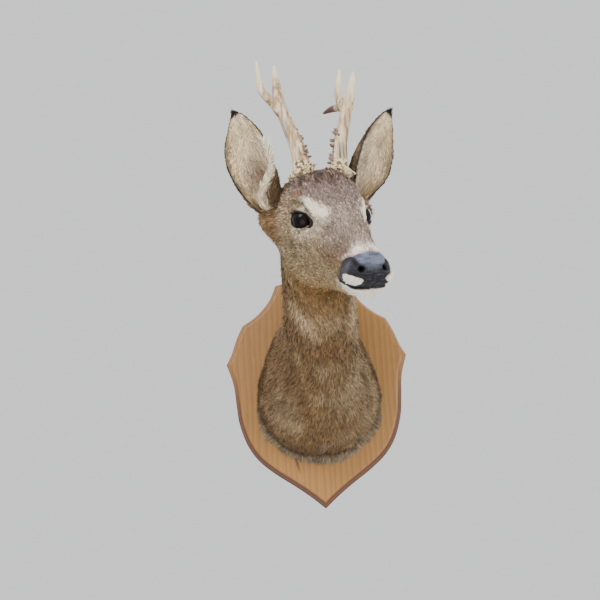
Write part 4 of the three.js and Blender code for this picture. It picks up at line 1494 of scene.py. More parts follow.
def ear_shell(ear):
    """Outer and inner face as grids [row, arc]; across is the share of the wrap, -1 to 1,
    and medial the sign of the side that is nearer to the antlers."""
    start, end = np.array(ear["root"], float), np.array(ear["tip"], float)
    axis = unit(end - start)
    opening = np.array(ear["faces"], float)
    opening = unit(opening - axis * (opening @ axis))
    sideways = np.cross(axis, opening)
    row = np.linspace(0, len(EAR_ROWS) - 1, EAR_STEPS)
    share, radius, wrap, thick = (along(column, row) for column in EAR_ROWS.T)
    radius = radius * (1 - ear["slim"] * bell(share - 0.2, 0.16))
    bow = opening * (ear["bow"] * np.sin(np.pi * share))[:, None]
    ridge = start + share[:, None] * (end - start) - bow
    ridge[:, 0] += ear["inward"] * np.exp(-12 * share)
    across = np.linspace(-1, 1, EAR_ARC)
    turn = np.radians(ear["turn"] * (1 - step(-0.1, 0.38, share)))
    a = np.radians(wrap)[:, None] * across + turn[:, None]
    wave = 0.5 * np.sin(9 * share[:, None] + 4 * across) * np.abs(across) ** 3
    ribs = 0.35 * np.cos(16 * across) * step(0.1, 0.3, share)[:, None] * (1 - np.abs(across) ** 2)

    def face(r, lift):
        reach = lift[:, None] + r * (1 - np.cos(a))
        return ridge[:, None] + opening * reach[..., None] + sideways * (r * np.sin(a))[..., None]

    outer = face(radius[:, None] - EAR_SKIN_SUNK + wave, np.full_like(share, EAR_SKIN_SUNK))
    inner = face(radius[:, None] - thick[:, None] + EAR_SKIN_SUNK + wave + ribs, thick - EAR_SKIN_SUNK)
    toward_middle = -1.0 if ear["tip"][0] > 0 else 1.0
    medial = float(np.sign(sideways[0] * toward_middle))
    return dict(outer=outer, inner=inner, share=share, across=across, sideways=sideways, medial=medial)


ear_shells = {side: ear_shell(ear) for side, ear in EARS.items()}
print("ear grid:", ear_shells["left"]["outer"].shape[:2])

# %% [markdown]
# ### Colours of the ears
# The back is brown with a dark rim and a nearly black tip. The cup is pale, and its long
# hair spills over the edge nearer to the antlers, so its tint runs onto the back there.

# %% Ear colours
EAR = tint_table(back="7b603f", back_low="7d6242", flank="4f3b26", back_dark="3b2b24", tip="2b1f1a",
                 rim="2b201a", inside="ead3b1", inside_warm="d6bd8c", hollow="765a43",
                 long_hair="fff0da")
TIP_STARTS = {True: (0.91, 0.96), False: (0.945, 0.98)}  # outside, inside
RIM_STRENGTH = {True: 0.9, False: 0.55}


def back_layers(s, toward, spills):
    low = mix(EAR["back_low"], EAR["flank"], step(-0.2, 0.5, toward)[..., None])
    spill_from = mix(0.8, 0.72, step(0.1, 0.42, s))
    spill = step(-0.06, 0.08, toward - spill_from) * (1 - step(0.46, 0.58, s)) * spills
    return [(low, 1 - step(0.2, 0.6, s), 0.85), ("back_dark", step(0.35, 0.9, s), 0.6),
            ("inside", spill, 0.95)]


def cup_layers(s, a, medial, spills):
    toward = a * medial
    return [
        ("inside_warm", step(0.2, 0.8, -toward), 0.65),
        # partly the grey skin of the hollow, partly painted shade deep in the cup
        ("hollow", bell((s - 0.29) / 0.25, 1) * bell((a - 0.04 * medial) / 0.42, 1), 0.3 + 0.6 * spills),
        ("inside_warm", bell((s - 0.76) / 0.12, 1), 0.6),
        ("back_low", step(0.15, 0.06, s), 0.3 + 0.5 * spills),
        ("long_hair", step(0.48, 0.8, toward) * (1 - step(0.55, 0.7, s)), 0.8),
    ]


def ear_tints(side, outside):
    shell, spills = ear_shells[side], EARS[side]["spills"]
    s, a = np.broadcast_arrays(shell["share"][:, None], shell["across"][None])
    toward = a * shell["medial"]
    layers = back_layers(s, toward, spills) if outside else cup_layers(s, a, shell["medial"], spills)
    covered = step(0.0, 0.5, toward) * (1 - step(0.7, 0.88, s)) * spills
    rim = step(0.9, 0.99, np.abs(a)) * step(0.12, 0.25, s) * (1 - covered)
    layers += [("rim", rim, RIM_STRENGTH[outside]), ("tip", step(*TIP_STARTS[outside], s), 1)]
    return layered(EAR["back" if outside else "inside"], EAR, layers)


print("tints of the ears:", len(EAR))

# %% [markdown]
# ## One skin
# Head, neck and both ears go into one mesh, with the ears' tube ends inside the head. Under
# the hair the skin still shows here and there, so it wears the same tints, darkened in its
# finish by streaks and by painted shade under the coat.

# %% Build the skin
def capped_grid(points, rows, guided):
    """Quads and end caps of a closed grid; its first guided rows say which way is out."""
    quads, caps = grid_faces(rows, COLUMNS), cap_faces(rows, COLUMNS)
    guide = skin_normals[: guided - 1].reshape(-1, 3)
    a, b, d = (points[quads[: len(guide), k]] for k in (0, 1, 3))
    if (np.cross(b - a, d - a) * guide).sum(-1).mean() < 0:
        quads, caps = quads[:, ::-1], caps[:, ::-1]
    return quads, caps


def build_skin():
    body = np.concatenate([skin_points.reshape(-1, 3), skin_points[[0, -1]].mean(1)])
    quads, caps = capped_grid(body, len(places), len(places))
    parts, colours = [(body, caps)], [coat_tint.reshape(-1, 3), coat_tint[[0, -1]].mean(1)]
    for side, shell in ear_shells.items():
        parts.append(closed_tube(np.concatenate([shell["outer"], shell["inner"][:, ::-1]], 1)))
        tint = np.concatenate([ear_tints(side, True), ear_tints(side, False)[:, ::-1]], 1)
        colours += [tint.reshape(-1, 3), tint[[0, -1]].mean(1)]
    points, triangles = joined(parts)
    return write_mesh("skin", points, [quads, triangles], np.concatenate(colours))


hide = Finish("hide")
hide_tone = hide.painted()
hide_grain = hide.grain(hide.place(scale=(1.0, 1.0, 0.35)), 900.0, 3.0, 0.6)
hide_fleck = hide.grain(hide.place(), 330.0, 2.0)
# partly streaks of hair, partly painted shade: the skin under the coat is darkened to between about two
# fifths and five sixths
hide_streaks_and_painted_shade = hide.blend(hide.fit(hide_grain, 0.3, 0.7), (0.42, 0.4, 0.38), (0.86, 0.85, 0.84))
hide_material = hide.done(
    Base_Color=hide.blend(1.0, hide_tone, hide_streaks_and_painted_shade, "MULTIPLY"),
    Roughness=hide.fit(hide_fleck, 0.2, 0.8, 0.75, 0.95),
    Normal=hide.bump(hide_grain * 0.7 + hide_fleck * 0.3, 0.6, 0.0007))
skin = wear(build_skin(), hide_material)
print("skin faces:", len(skin.data.polygons))

# %% [markdown]
# ## Nose leather
# The bare nose is a skin of its own kind: black, damp-looking and pebbled like a football.
# Its colour also carries painted highlights on the top and wing, and painted shade in the nostrils.
# It is a second shell over the same grid that lies just above the skin inside the mask and
# dips under it outside, so its edge is cut by the skin itself and not by the mesh's rows.

# %% Colours of the nose
NOSE = tint_table(black="121114", wing="2f2028", shine="4f5467", top="757c91", crease="3d414c",
                  hole="060506", mouth="120f10")
NOSE_ROWS = int(np.searchsorted(places, 4.4))
NOSE_CUT = slice(0, NOSE_ROWS)


def nose_tints():
    h, u = mirrored(HEAD[NOSE_CUT]), high_u[NOSE_CUT]
    wing = bell(np.linalg.norm(h - [20.5, 102, -41], axis=-1), 10)
    shine = bell(np.linalg.norm(h - [20.5, 105, -36], axis=-1), 4.6)
    wrinkles = 0.5 + 0.5 * noise(HEAD[NOSE_CUT], (6.0, 6.0, 1.6), 53)
    # painted highlight: the upper part of the pad, where light from above falls
    top = step(-41, -31, u) * step(17, 14, h[..., 0])
    creases = noise(HEAD[NOSE_CUT], (5.0, 5.0, 1.2), 54)
    # painted shade: darkness spread round each nostril and along the furrow that curls from it
    deep = np.maximum(bell(hole[NOSE_CUT], 4.6), bell(furrow_gap[NOSE_CUT], 2.4) * 0.95)
    return layered(NOSE["black"], NOSE, [
        ("wing", wing, 0.9),
        # painted highlight: a bluish spot of light on the wing
        ("shine", shine, 0.8),
        # painted highlight: bluish grey light laid over the top of the pad, broken by the wrinkles
        ("top", top * np.clip(0.25 + 0.75 * wrinkles, 0, 1), 1),
        # painted highlight: bluish glints laid along the wrinkles of the lower front
        ("crease", step(-33, -37, u) * step(0.1, 0.9, creases) * (1 - wing), 0.8),
        # painted shade in the nostrils and their furrows
        ("hole", deep, 1),
        ("mouth", step(3.5, 1.0, above_mouth[NOSE_CUT]), 1),
    ])


print("rows of the nose:", NOSE_ROWS)

# %% Build the nose
NOSE_PROUD, NOSE_TUCKED, NOSE_THICK = 0.35, -1.4, 2.2


def build_nose():
    mask, out = leather[NOSE_CUT], normal[NOSE_CUT]
    pebbles = 0.1 * noise(form[NOSE_CUT], 1.5, 51) * mask
    lift = mix(NOSE_TUCKED, NOSE_PROUD, step(0.3, 0.8, mask)) + pebbles
    outer = form[NOSE_CUT] + out * (relief[NOSE_CUT] - 0.9 * mask + lift)[..., None]
    inner = outer - out * NOSE_THICK
    outer, inner = (twisted(p, PLACE[NOSE_CUT], middle[NOSE_CUT]) for p in (outer, inner))
    points = np.concatenate([outer.reshape(-1, 3), inner[::-1].reshape(-1, 3),
                             outer[:1].mean(1), inner[:1].mean(1)])
    tint = nose_tints()
    hub_tint = tint[:1].mean(1)
    colours = np.concatenate([tint.reshape(-1, 3), tint[::-1].reshape(-1, 3), hub_tint, hub_tint])
    return write_mesh("nose", points, [*capped_grid(points, 2 * NOSE_ROWS, NOSE_ROWS)], colours)


pad = Finish("nose_leather")
nose_tone = pad.painted()
pebble = pad.node("TexVoronoi", {"feature": "SMOOTH_F1"}, Vector=pad.place(), Scale=620.0)
damp = pad.grain(pad.place(), 90.0, 3.0)
creased = pad.grain(pad.place(scale=(0.25, 0.25, 1.0)), 560.0, 3.0, 0.6)
pebble_mask = pad.fit(pebble, 0.2, 0.8) * 0.25
nose_material = pad.done(
    Base_Color=pad.blend(pebble_mask, nose_tone, (0.05, 0.05, 0.055)),
    Roughness=pad.fit(damp, 0.3, 0.7, 0.32, 0.5), Specular_IOR_Level=0.22,
    Normal=pad.bump((1 - pebble) * 0.6 + creased, 0.7, 0.0009))
nose = wear(build_nose(), nose_material)
print("nose faces:", len(nose.data.polygons))

# %% [markdown]
# ## Glass eyes
# A taxidermist's eye is a glass ball with a very dark brown iris and a long pupil that lies
# level. The colour is stored on the ball's points as seen along the eye's look, under a
# clear hard gloss.

# %% Eye balls
GLASS = tint_table(iris="0e0806", iris_fibre="190f0a", pupil="030304", ball="0a0706")
IRIS, PUPIL_LONG, PUPIL_HIGH = 9.5, 5.4, 2.9
CORNEA_RISE, CORNEA_REACH = 0.035, 8
BALL_RINGS, BALL_SIDES = 56, 88
SIDES = {"left": 1, "right": -1}


def eye_ball(side):
    polar = np.linspace(0, math.pi, BALL_RINGS + 2)[1:-1, None]
    a = round_angles(BALL_SIDES)
    p, q, r = np.sin(polar) * np.cos(a), np.sin(polar) * np.sin(a), np.cos(polar) * np.ones_like(a)
    local = np.stack([p, q, r], -1) * EYE_RADIUS
    front = local[..., 2] > 0
    bulge = 1 + CORNEA_RISE * bell(np.hypot(local[..., 0], local[..., 1]), CORNEA_REACH) * front
    local = local * bulge[..., None]
    spread = np.hypot(local[..., 0], local[..., 1])
    fibres = 0.5 + 0.5 * np.sin(46 * a + 3 * np.sin(5 * a))
    pupil = 1 - step(0.85, 1.1, np.hypot(local[..., 0] / PUPIL_LONG, local[..., 1] / PUPIL_HIGH))
    colour = layered(GLASS["iris"], GLASS, [
        ("iris_fibre", fibres * step(4, 8, spread), 1), ("pupil", pupil * front, 1),
        ("ball", np.where(front, step(IRIS - 0.8, IRIS + 0.4, spread), 1.0), 1)])
    h = from_eye(SIDES[side], *(local[..., k] for k in range(3)))
    colours = np.concatenate([colour.reshape(-1, 3), colour[[0, -1]].mean(1)])
    return write_mesh("eye_ball_" + side, *closed_tube(head_point(h)), colours)


glass = Finish("eye_glass")
glass_tone = glass.painted()
glass_swirl = glass.grain(glass.place(), 240.0, 2.0)
glass_material = glass.done(
    Base_Color=glass.blend(glass_swirl * 0.25, glass_tone, (0.012, 0.009, 0.008)),
    Roughness=glass.fit(glass_swirl, 0.2, 0.8, 0.03, 0.07), Specular_IOR_Level=0.13)
eyes = {side: wear(eye_ball(side), glass_material) for side in SIDES}
print("eyes:", [len(e.data.polygons) for e in eyes.values()])

# %% [markdown]
# ## Lid rims
# The edge of each lid is a bare dark band that hugs the glass. It is a closed strip swept
# round the almond: a few lines, each at its own share of the opening and its own height.

# %% Lid rims
RIM_LINES = [  # share of the opening, 0 on the glass to 1 on the lid, height in mm
    (0.86, 0.0, -1.6), (0.9, 0.0, -0.1), (0.925, 0.0, 0.35), (0.96, 0.5, 0.7), (1.0, 1.0, 0.75),
    (1.06, 1.0, 0.6), (1.13, 1.0, 0.2), (1.22, 1.0, -1.0), (1.1, 1.0, -2.2), (0.95, 0.4, -2.2)]
RIM_STEPS = 180


def lid_over(a, b, q, sign):
    return lid_height(a, b, eye_fits[sign](a, b), q)


def lid_rim(side):
    sign = SIDES[side]
    t = round_angles(RIM_STEPS)
    fore_edge, up_edge = almond(t)
    corner = step(0.75, 1.0, np.cos(t))
    strip = []
    for q, onto, height in RIM_LINES:
        wide = 1 + (q - 1) * (1 + 0.5 * corner)
        a, b = fore_edge * wide, up_edge * wide
        lid = lid_over(a, b, np.maximum(wide, 1.0), sign)
        c = mix(np.maximum(ball_height(a, b, EYE_RADIUS), lid - 1.4), lid, onto) + height
        strip.append(from_eye(sign, a, b, c))
    points = head_point(np.stack(strip, 0)).reshape(-1, 3)
    quads = grid_faces(len(strip) + 1, RIM_STEPS) % len(points)
    if inside_out(points, halved(quads)):
        quads = quads[:, ::-1]
    return write_mesh("lid_rim_" + side, points, quads)


lid_skin = Finish("lid_skin")
wrinkle = lid_skin.grain(lid_skin.place(), 700.0, 3.0)
lid_material = lid_skin.done(
    Base_Color=lid_skin.blend(lid_skin.fit(wrinkle, 0.35, 0.7), srgb("0c0809"), srgb("241d20")),
    Roughness=lid_skin.fit(wrinkle, 0.3, 0.7, 0.4, 0.62), Specular_IOR_Level=0.2,
    Normal=lid_skin.bump(wrinkle, 0.4, 0.0004))
rims = {side: wear(lid_rim(side), lid_material) for side in SIDES}
print("rims:", [len(r.data.polygons) for r in rims.values()])

# %% [markdown]
# ## Lashes
# The lashes follow a rule, one curved hair after another along the upper edge, so Geometry
# Nodes set them. Each root carries its aim, and the tree turns one hair to that aim.

# %% One lash and the line of roots
LASH_LONG, LASH_THICK, LASH_BEND, LASH_RINGS, LASH_SIDES, LASH_COUNT = 5.2, 0.28, 1.3, 7, 5, 42


def lash_blank():
    s = np.linspace(0, 1, LASH_RINGS)[:, None]
    a = round_angles(LASH_SIDES)
    radius = LASH_THICK * (1 - 0.9 * s)
    grid = np.stack([radius * np.cos(a), radius * np.sin(a) + LASH_BEND * s ** 2,
                     np.repeat(LASH_LONG * s, LASH_SIDES, 1)], -1)
    return write_mesh("lash_blank", *closed_tube(grid))


def lash_line(sign):
    t = np.linspace(0.1, 0.94, LASH_COUNT) * math.pi
    fore_edge, up_edge = almond(t)
    a, b = fore_edge * 1.03, up_edge * 1.03
    look, fore, lift = eye_axes(sign)[1:]
    roots = from_eye(sign, a, b, lid_over(a, b, np.ones_like(a), sign) + 0.3)
    aim = unit(look * 1.0 + lift * 0.75 + fore * (0.055 * fore_edge - 0.15)[:, None])
    piece = points_only("lash_line", head_point(roots))
    attribute = piece.data.attributes.new("aim", "FLOAT_VECTOR", "POINT")
    attribute.data.foreach_set("vector", flat(unit(head_point(roots + aim) - head_point(roots))))
    return piece


print("lashes on each lid:", LASH_COUNT)

# %% The lashes' tree
def lash_tree(material, blank):
    growth = Growth("lashes")
    seed = growth.entry("Seed", "Int", 5)
    shortest, longest = growth.entry("Shortest", "Float", 0.6), growth.entry("Longest", "Float", 1.15)
    aim = growth.node("GeometryNodeInputNamedAttribute", {"data_type": "FLOAT_VECTOR"}, Name="aim")
    stand = growth.node("FunctionNodeAlignRotationToVector", {"axis": "Z"}, Vector=aim.outputs[0])
    size = growth.node("FunctionNodeRandomValue", {"data_type": "FLOAT"}, n2=shortest, n3=longest,
                       Seed=seed)
    growth.copies(growth.start.outputs[0], "Lash", blank, material, Rotation=stand.outputs[0],
                  Scale=size.outputs[1])
    return growth


lash = Finish("lash_hair")
lash_noise = lash.grain(lash.place(), 300.0, 2.0)
lash_material = lash.done(
    Base_Color=lash.blend(lash_noise, srgb("0d0a09"), srgb("2c221d")),
    Roughness=lash.fit(lash_noise, 0.3, 0.7, 0.45, 0.65),
    Normal=lash.bump(lash_noise, 0.2, 0.0002))
lashes = {}
for side, sign in SIDES.items():
    blank = lash_blank()
    lashes[side] = lash_tree(lash_material, blank).grow(lash_line(sign), "lashes_" + side)
    bpy.data.objects.remove(blank)
print("lashes:", [len(piece.data.polygons) for piece in lashes.values()])

# %% [markdown]
# ## The coat
# Roe hair is short and thick, and lies flat from the nose toward the rump. Particle hair
# would be lost when the mount is exported, so each tuft is a real leaf of four faces: a
# root under the skin, two edges, a raised midrib and a tip. Tufts are sown at random over
# the grid by area, follow its rows toward the board, part round the eyes and lean together
# in small clumps, which gives the coat its broken, wavy grain.

# %% One leaf of hair
LEAF_FACES = np.array([[0, 4, 2], [0, 1, 4], [1, 3, 4], [4, 3, 2]])
PATCH = 0.003  # size of a tuft's place on the colour map
PATCH_CORNERS = np.array([[0, -0.5], [-0.5, 0], [0.5, 0], [0, 0.5], [0, 0]]) * PATCH


def leaves(roots, normals, lie, length, width, lift, droop, uv, rng):
    """Points, faces and map places of one leaf for every root."""
    count = len(roots)
    across = np.cross(normals, lie)
    rise, fall = np.sin(lift)[:, None], np.sin(lift - droop)[:, None]
    run, glide = np.cos(lift)[:, None], np.cos(lift - droop)[:, None]
    size, wide = length[:, None], width[:, None]
    sway = across * (rng.normal(0, 0.07, count) * length)[:, None]
    roll = normals * (rng.normal(0, 0.3, count) * width)[:, None]
    waist = roots + (lie * run + normals * rise) * size * 0.45
    tip = waist + (lie * glide + normals * fall) * size * 0.55 + sway
    base = roots - normals * np.minimum(0.5, 0.08 * size)
    points = np.stack([base, waist - across * wide / 2 - roll, waist + across * wide / 2 + roll, tip,
                       waist + normals * wide * 0.25], 1)
    faces = LEAF_FACES[None] + 5 * np.arange(count)[:, None, None]
    places_on_map = uv[:, None] + PATCH_CORNERS[None]
    return points.reshape(-1, 3), faces.reshape(-1, 3), places_on_map.reshape(-1, 2)


print("a leaf has", len(LEAF_FACES), "faces")

# %% [markdown]
# ### Sowing
# A cell is picked by its share of the running total of weights, and a tuft's values are
# mixed from the cell's corners. Real hair is banded: a dark root, a pale band, a dark tip.

# %% Sow, sample and colour
def sown(weight, count, rng):
    """Random cells of a grid, in proportion to weight, with a place inside each cell."""
    total = np.cumsum(weight.ravel())
    picks = np.searchsorted(total, (np.arange(count) + rng.random(count)) / count * total[-1])
    picks = np.minimum(picks, weight.size - 1)
    return picks // weight.shape[1], picks % weight.shape[1], rng.random(count), rng.random(count)


def sampled(grid, cell, wrap=True):
    """Value of a grid inside its cells."""
    row, column, s, t = cell
    rows, columns = grid.shape[:2]
    after_row = np.minimum(row + 1, rows - 1)
    after_column = (column + 1) % columns if wrap else np.minimum(column + 1, columns - 1)
    if grid.ndim == 3:
        s, t = s[:, None], t[:, None]
    return mix(mix(grid[row, column], grid[row, after_column], t),
               mix(grid[after_row, column], grid[after_row, after_column], t), s)


def cell_areas(points, wrap=True):
    if wrap:
        across = np.roll(points, -1, 1) - points
    else:
        across = np.diff(points, axis=1, append=points[:, -1:])
    down = np.diff(points, axis=0, append=points[-1:])
    return np.linalg.norm(np.cross(across, down), axis=-1)


def yawed(lie, normals, spread, rng):
    """The lie of each tuft turned a little in the plane of the skin."""
    yaw = rng.normal(0, spread, len(lie))[:, None]
    return unit(lie * np.cos(yaw) + np.cross(normals, lie) * np.sin(yaw))


def banded(tints, spread, dark_share, pale, rng):
    """Colours of root, two edges, tip and rib."""
    count = len(tints)
    base = tints * np.exp(rng.normal(0, spread, count))[:, None]
    warm = 1 + rng.normal(0, 0.035, count)[:, None] * [1.0, 0.2, -1.2]
    dark = rng.random(count) < dark_share
    dark_tip, pale_tip = rng.uniform(0.35, 0.75, count), rng.uniform(1.0, pale, count)
    tip_shade = np.where(dark, dark_tip, pale_tip)[:, None]
    base = base * warm * np.where(dark, 0.84, 1.06)[:, None]
    frosted = mix(base, base.mean(-1, keepdims=True) * [1.06, 1.0, 0.87], 0.45) * tip_shade
    bright = step(0.5, 0.75, tints.mean(-1))[:, None]
    root, edge = base * (0.5 + 0.35 * bright), base * (0.9 + 0.15 * bright)
    return np.clip(np.stack([root, edge, edge, frosted, base], 1), 0, 1).reshape(-1, 3)


skin_area = cell_areas(skin_points)
skin_area[-1] = 0
print("skin area", round(skin_area.sum() / 100), "cm2")

# %% [markdown]
# ### The lie of the hair
# Hair runs along the body and parts round an eye, and soft noise bends it into clumps.
# Length, width and lift come from a table by place: very short on the nose, longer on the
# neck, and a stiff fringe where it meets the board.

# %% Lie of the hair on head and neck
def hair_lie():
    flow = unit(np.gradient(skin_points, axis=0))
    for sign in (1, -1):
        out = skin_points - head_point(eye_axes(sign)[0])
        gap = np.linalg.norm(out, axis=-1)
        flow = flow + unit(out) * (bell(gap, 13.0) * 4.0)[..., None]
    clumps = 0.45 * noise(FLOW, (2.8, 2.8, 4.6), 61) + 0.2 * noise(FLOW, (9.0, 9.0, 13.0), 62)
    swirl = 0.4 * noise(form, 30.0, 63) * step(8, 14, PLACE)
    flow = flow + np.cross(skin_normals, flow) * (clumps + swirl)[..., None]
    return unit(flow - skin_normals * (flow * skin_normals).sum(-1, keepdims=True))


lie_grid = hair_lie()
print("lie at the nose", lie_grid[0, 0].round(2))

# %% Length, width, lift and density
HAIR_ROWS = np.array([  # place, length, width, lift in degrees, layers
    [-1, 1.9, 0.5, 10, 4.4], [1.5, 2.2, 0.55, 12, 4.6], [3, 3.2, 0.62, 14, 4.8], [5, 4.3, 0.7, 16, 4.8],
    [7, 5.2, 0.75, 14, 4.8], [9, 5.8, 0.8, 15, 4.8], [11, 7.4, 0.9, 17, 5.0], [12.5, 7.2, 0.8, 18, 5.2],
    [14, 7.6, 0.85, 22, 5.2], [16, 8.0, 0.95, 28, 6.0], [18, 8.4, 1.0, 29, 6.0], [19.5, 8.8, 1.05, 27, 6.0],
    [19.7, 12, 0.85, 46, 7.5], [20, 13.5, 0.7, 66, 9.0],
])
hair_length, hair_width, hair_lift, hair_layers = (
    np.interp(PLACE, HAIR_ROWS[:, 0], column) for column in HAIR_ROWS.T[1:])
ear_base = around(HEAD, (46, -44, 14), 19) * (PLACE < 13)
lip = step(1.1, 0.95, white_patch(HEAD)) * (PLACE < 6)
hair_length *= 1 + 0.6 * crown + 0.9 * ear_base
hair_length *= 0.45 + 0.55 * step(1.15, 2.2, eye_share)
shorter_on_top = 1 - 0.55 * step(19.5, 19.8, PLACE) * step(125, 95, THETA)
hair_length *= (1 + 0.2 * noise(FLOW, (6.0, 6.0, 9.0), 65)) * shorter_on_top
hair_length *= 1 + 0.5 * lip
clump_lift = 1 + 0.55 * noise(FLOW, (2.6, 2.6, 5.0), 64)
hair_lift = np.radians(hair_lift) * clump_lift * (1 + 0.5 * crown + 0.7 * ear_base + 1.6 * lip)
bare = np.maximum(leather, step(1.16, 1.02, eye_share))
bare = np.where(PLACE < -0.2, 1.0, bare)
density = hair_layers / (0.5 * hair_length * hair_width) * (1 - step(0.3, 0.7, bare))
print("tufts wanted", round((skin_area * density).sum()))

# %% [markdown]
# ### The coat of head and neck
# The coat is sown in six parts, so that no piece grows too heavy to hand over. Its shades
# vary more on the face, which is grizzled. No tuft may reach into the board.

# %% Sow the coat of head and neck
BOARD_FACE = -BOARD_THICK - 0.35
BODY_COATS = {
    "coat_muzzle": (-0.3, 4.8), "coat_face": (4.8, 8.4), "coat_brow": (8.4, 12.0),
    "coat_throat": (12.0, 16.0), "coat_neck": (16.0, 18.4), "coat_rim": (18.4, 20.0)}
COAT_LIMIT = 49000
COAT_SHARE = 1.0
SHADE_SPREAD = ([0, 4, 11, 12.5, 15, 17], [0.2, 0.42, 0.4, 0.17, 0.15, 0.18])  # by place
DARK_TIPS = ([0, 6, 12, 15, 17, 20], [0.2, 0.28, 0.2, 0.22, 0.32, 0.34])


def sow_body(name, span, seed):
    rng = np.random.default_rng(seed)
    weight = skin_area * density * ((PLACE >= span[0]) & (PLACE < span[1]))
    count = int(min(weight.sum(), COAT_LIMIT) * COAT_SHARE)
    cell = sown(weight, count, rng)
    place, tints = sampled(PLACE, cell), sampled(coat_tint, cell)
    white = step(0.55, 0.75, tints.mean(-1))
    spread = np.interp(place, *SHADE_SPREAD) * (1 - 0.7 * white)
    dark_share = np.interp(place, *DARK_TIPS) * (1 - white)
    colours = banded(tints * (1 + 0.08 * white)[:, None], spread, dark_share, 1.4, rng)
    uv = np.stack([(cell[1] + cell[3]) / COLUMNS, (place - span[0]) / (span[1] - span[0])], -1)
    normals = unit(sampled(skin_normals, cell))
    lie = yawed(unit(sampled(lie_grid, cell)), normals, 0.16, rng)
    fine = np.exp(rng.normal(-0.05, 0.32, count))
    length = sampled(hair_length, cell) * rng.uniform(0.7, 1.25, count)
    lift = np.maximum(sampled(hair_lift, cell) * rng.uniform(0.55, 1.5, count), 0.03)
    droop = np.radians(17) * rng.uniform(0.3, 1.6, count)
    points, faces, places_on_map = leaves(sampled(skin_points, cell), normals, lie, length,
                                          sampled(hair_width, cell) * fine, lift, droop, uv, rng)
    points[:, 1] = np.minimum(points[:, 1], BOARD_FACE - 0.5 * rng.random(len(points)))
    return write_mesh(name, points, faces, colours, places_on_map)


hair = Finish("hair")
hair_tone = hair.painted()
hair_noise = hair.grain(hair.place(), 260.0, 2.0)
hair_shade = hair.blend(hair_noise, (0.86, 0.85, 0.84), (1.0, 1.0, 1.0))
hair_material = hair.done(
    Base_Color=hair.blend(1.0, hair_tone, hair_shade, "MULTIPLY"),
    Roughness=hair.fit(hair_noise, 0.2, 0.8, 0.6, 0.8), Specular_IOR_Level=0.2)
coats = {}
for number, (name, span) in enumerate(BODY_COATS.items()):
    coats[name] = wear(sow_body(name, span, 100 + number), hair_material)
    print(name, len(coats[name].data.polygons), "faces")

# %% [markdown]
# ### Hair of the ears
# The back of an ear has short close hair. Inside, long pale hair rises from the root and
# fans out past the inner edge, and the grey hollow shows between its strands.

# %% Lie of the hair on the ears
def back_hair(shell, flow, run, edge, strands):
    """Flow, length, lift, width and weight of the close hair on the back."""
    tip_tuft = step(0.92, 1.0, run)
    flow = flow - shell["sideways"] * (shell["medial"] * 0.5 * tip_tuft)[..., None]
    length = (7.5 + 5.0 * step(0.3, 0.05, run) - 2.5 * step(0.7, 0.92, run)
              - 3.0 * edge * (1 - tip_tuft) + 4.0 * tip_tuft)
    return flow, length, np.radians(13.0) * (1 + 0.5 * strands), 1.05 + 0 * run, 1 + 0.7 * edge


def cup_hair(shell, flow, run, edge, strands, arc, spills):
    """The same for the long hair inside, which fans out over the inner edge."""
    medial = shell["medial"]
    toward, inner_side = arc * medial, shell["sideways"] * medial
    toward_edge = unit(np.gradient(shell["inner"], axis=1)) * medial
    medial_edge = step(0.72, 1.0, toward) * (1 - step(0.45, 0.62, run))
    open_cup = step(0.3, 0.5, run)
    inward = step(0.3, 0.9, -toward) * 0.5 * open_cup
    flow = flow + toward_edge * (inward + (0.1 + 0.25 * open_cup) * strands)[..., None]
    wisps = spills * step(0.78, 0.95, toward) * step(0.2, 0.34, run) * (1 - step(0.44, 0.56, run))
    flow = flow + inner_side * (0.4 * spills * medial_edge * open_cup + 0.45 * wisps)[..., None]
    length = (7.5 + 6.0 * (1 - run) * (0.4 + 0.6 * open_cup) + 3.0 * spills * medial_edge * open_cup
              + 4.0 * wisps - 5.0 * step(0.75, 1.0, run) - 3.0 * edge * (1 - medial_edge))
    lift = np.radians(14.0) * (1 - 0.4 * medial_edge) * (1 + 0.6 * strands)
    return flow, length, lift, 0.95 + 0.35 * medial_edge, 0.9 + 1.1 * medial_edge


print("cells of an ear:", (EAR_STEPS - 1) * (EAR_ARC - 1))

# %% Sow the ears
EAR_TUFTS, CLOUD_SEED = 13000, 20


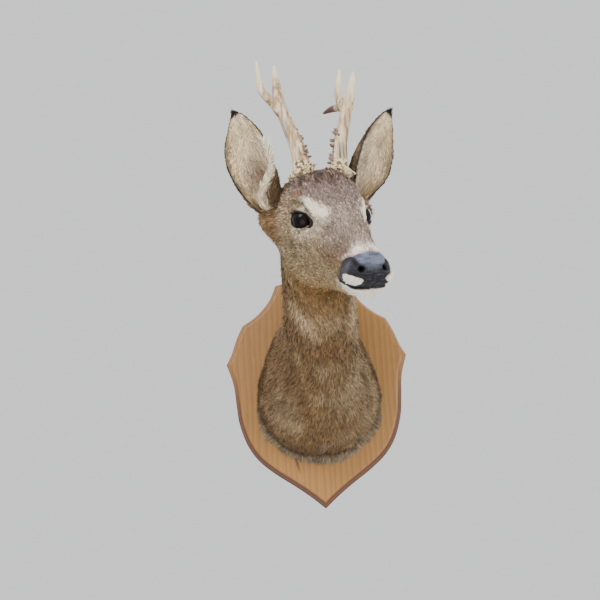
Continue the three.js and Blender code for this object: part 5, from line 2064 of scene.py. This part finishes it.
def ear_coat(side, outside, seed):
    rng = np.random.default_rng(seed)
    shell, spills = ear_shells[side], EARS[side]["spills"]
    face, other = shell["outer"], shell["inner"]
    if not outside:
        face, other = other, face
    normals = unit(np.cross(np.gradient(face, axis=1), np.gradient(face, axis=0)))
    normals *= np.sign((normals * unit(face - other)).sum(-1).mean())
    arc = np.broadcast_to(shell["across"][None], face.shape[:2])
    run = np.broadcast_to(shell["share"][:, None], face.shape[:2])
    edge = step(0.82, 1.0, np.abs(arc))
    grid_flow = np.stack([arc * 26, run * 120, 0 * arc], -1)
    strands = noise(grid_flow, (2.6, 9.0, 1.0), seed)
    clouds = noise(grid_flow, (8.0, 13.0, 1.0), seed + CLOUD_SEED)
    basis = (shell, unit(np.gradient(face, axis=0)), run, edge, strands)
    if outside:
        flow, length, lift, width, weight = back_hair(*basis)
        shade, dark_share = 1 + 0.1 * strands, 0.3
    else:
        flow, length, lift, width, weight = cup_hair(*basis, arc, spills)
        shade, dark_share = 1 + 0.16 * strands + 0.3 * np.minimum(clouds, 0.35), 0.1
    weight = weight * cell_areas(face, wrap=False)
    weight[:, -1], weight[-1] = 0, 0
    cell = sown(weight, int(EAR_TUFTS * COAT_SHARE), rng)
    n = len(cell[0])

    def pick(grid):
        return sampled(np.ascontiguousarray(grid), cell, wrap=False)

    colours = banded(pick(ear_tints(side, outside) * shade[..., None]), 0.13, dark_share, 1.3, rng)
    uv = np.stack([(cell[1] + cell[3]) / (EAR_ARC - 1), (cell[0] + cell[2]) / (EAR_STEPS - 1)], -1)
    up = unit(pick(normals))
    lie = yawed(unit(pick(flow)), up, 0.18, rng)
    long_ones = pick(length) * rng.uniform(0.65, 1.25, n)
    wide_ones = pick(width) * np.exp(rng.normal(0, 0.3, n))
    lifts = np.maximum(pick(lift), 0.03) * rng.uniform(0.5, 1.5, n)
    droops = np.radians(12) * rng.uniform(0.3, 1.6, n)
    points, faces, places_on_map = leaves(pick(face), up, lie, long_ones, wide_ones, lifts, droops, uv, rng)
    name = "coat_ear_" + side + ("_back" if outside else "_inside")
    return write_mesh(name, points, faces, colours, places_on_map)


EAR_COATS = [("right", True), ("right", False), ("left", True), ("left", False)]  # side, outside
for number, (side, outside) in enumerate(EAR_COATS):
    made = wear(ear_coat(side, outside, 200 + number), hair_material)
    coats[made.name] = made
    print(made.name, len(made.data.polygons), "faces")

# %% [markdown]
# ## The pieces on the mount's body
# Each piece rides on the one body of a still mount, and the solids that it stands for are
# hidden.

DRESS = [
    (shield, "board", ["shield_board"]),
    (screws, "screws", ["board_screw_1", "board_screw_2", "board_screw_3"]),
    (antler_pieces["right"], "antler", ["antler_right_beam", "antler_right_front_tine",
                                        "antler_right_main_tine"]),
    (antler_pieces["left"], "antler", ["antler_left_beam", "antler_left_front_tine",
                                       "antler_left_main_tine", "antler_left_rear_tine"]),
    (skin, "coat", ["neck_lower", "neck_upper", "head_cranium", "head_face", "chin",
                    "ear_left", "ear_right"]),
    (nose, "nose_leather", ["nose_pad"]),
    (eyes["left"], "eye_glass", ["eye_left"]),
    (eyes["right"], "eye_glass", ["eye_right"]),
    (rims["left"], "nose_leather", []),
    (rims["right"], "nose_leather", []),
    (lashes["left"], "coat", []),
    (lashes["right"], "coat", []),
    (pearl_pieces[0], "antler", []),
    (pearl_pieces[1], "antler", []),
]
for piece, finish_slot, stood_for in DRESS:
    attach(piece, "root")
    if stood_for:
        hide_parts(*stood_for)

for name, coat in coats.items():
    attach(coat, "root")
    "ear_coat" if "ear" in name else "coat"

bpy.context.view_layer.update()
total = sum(sum(len(p.vertices) - 2 for p in o.data.polygons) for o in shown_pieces() if o.type == "MESH")
print("triangles:", total)
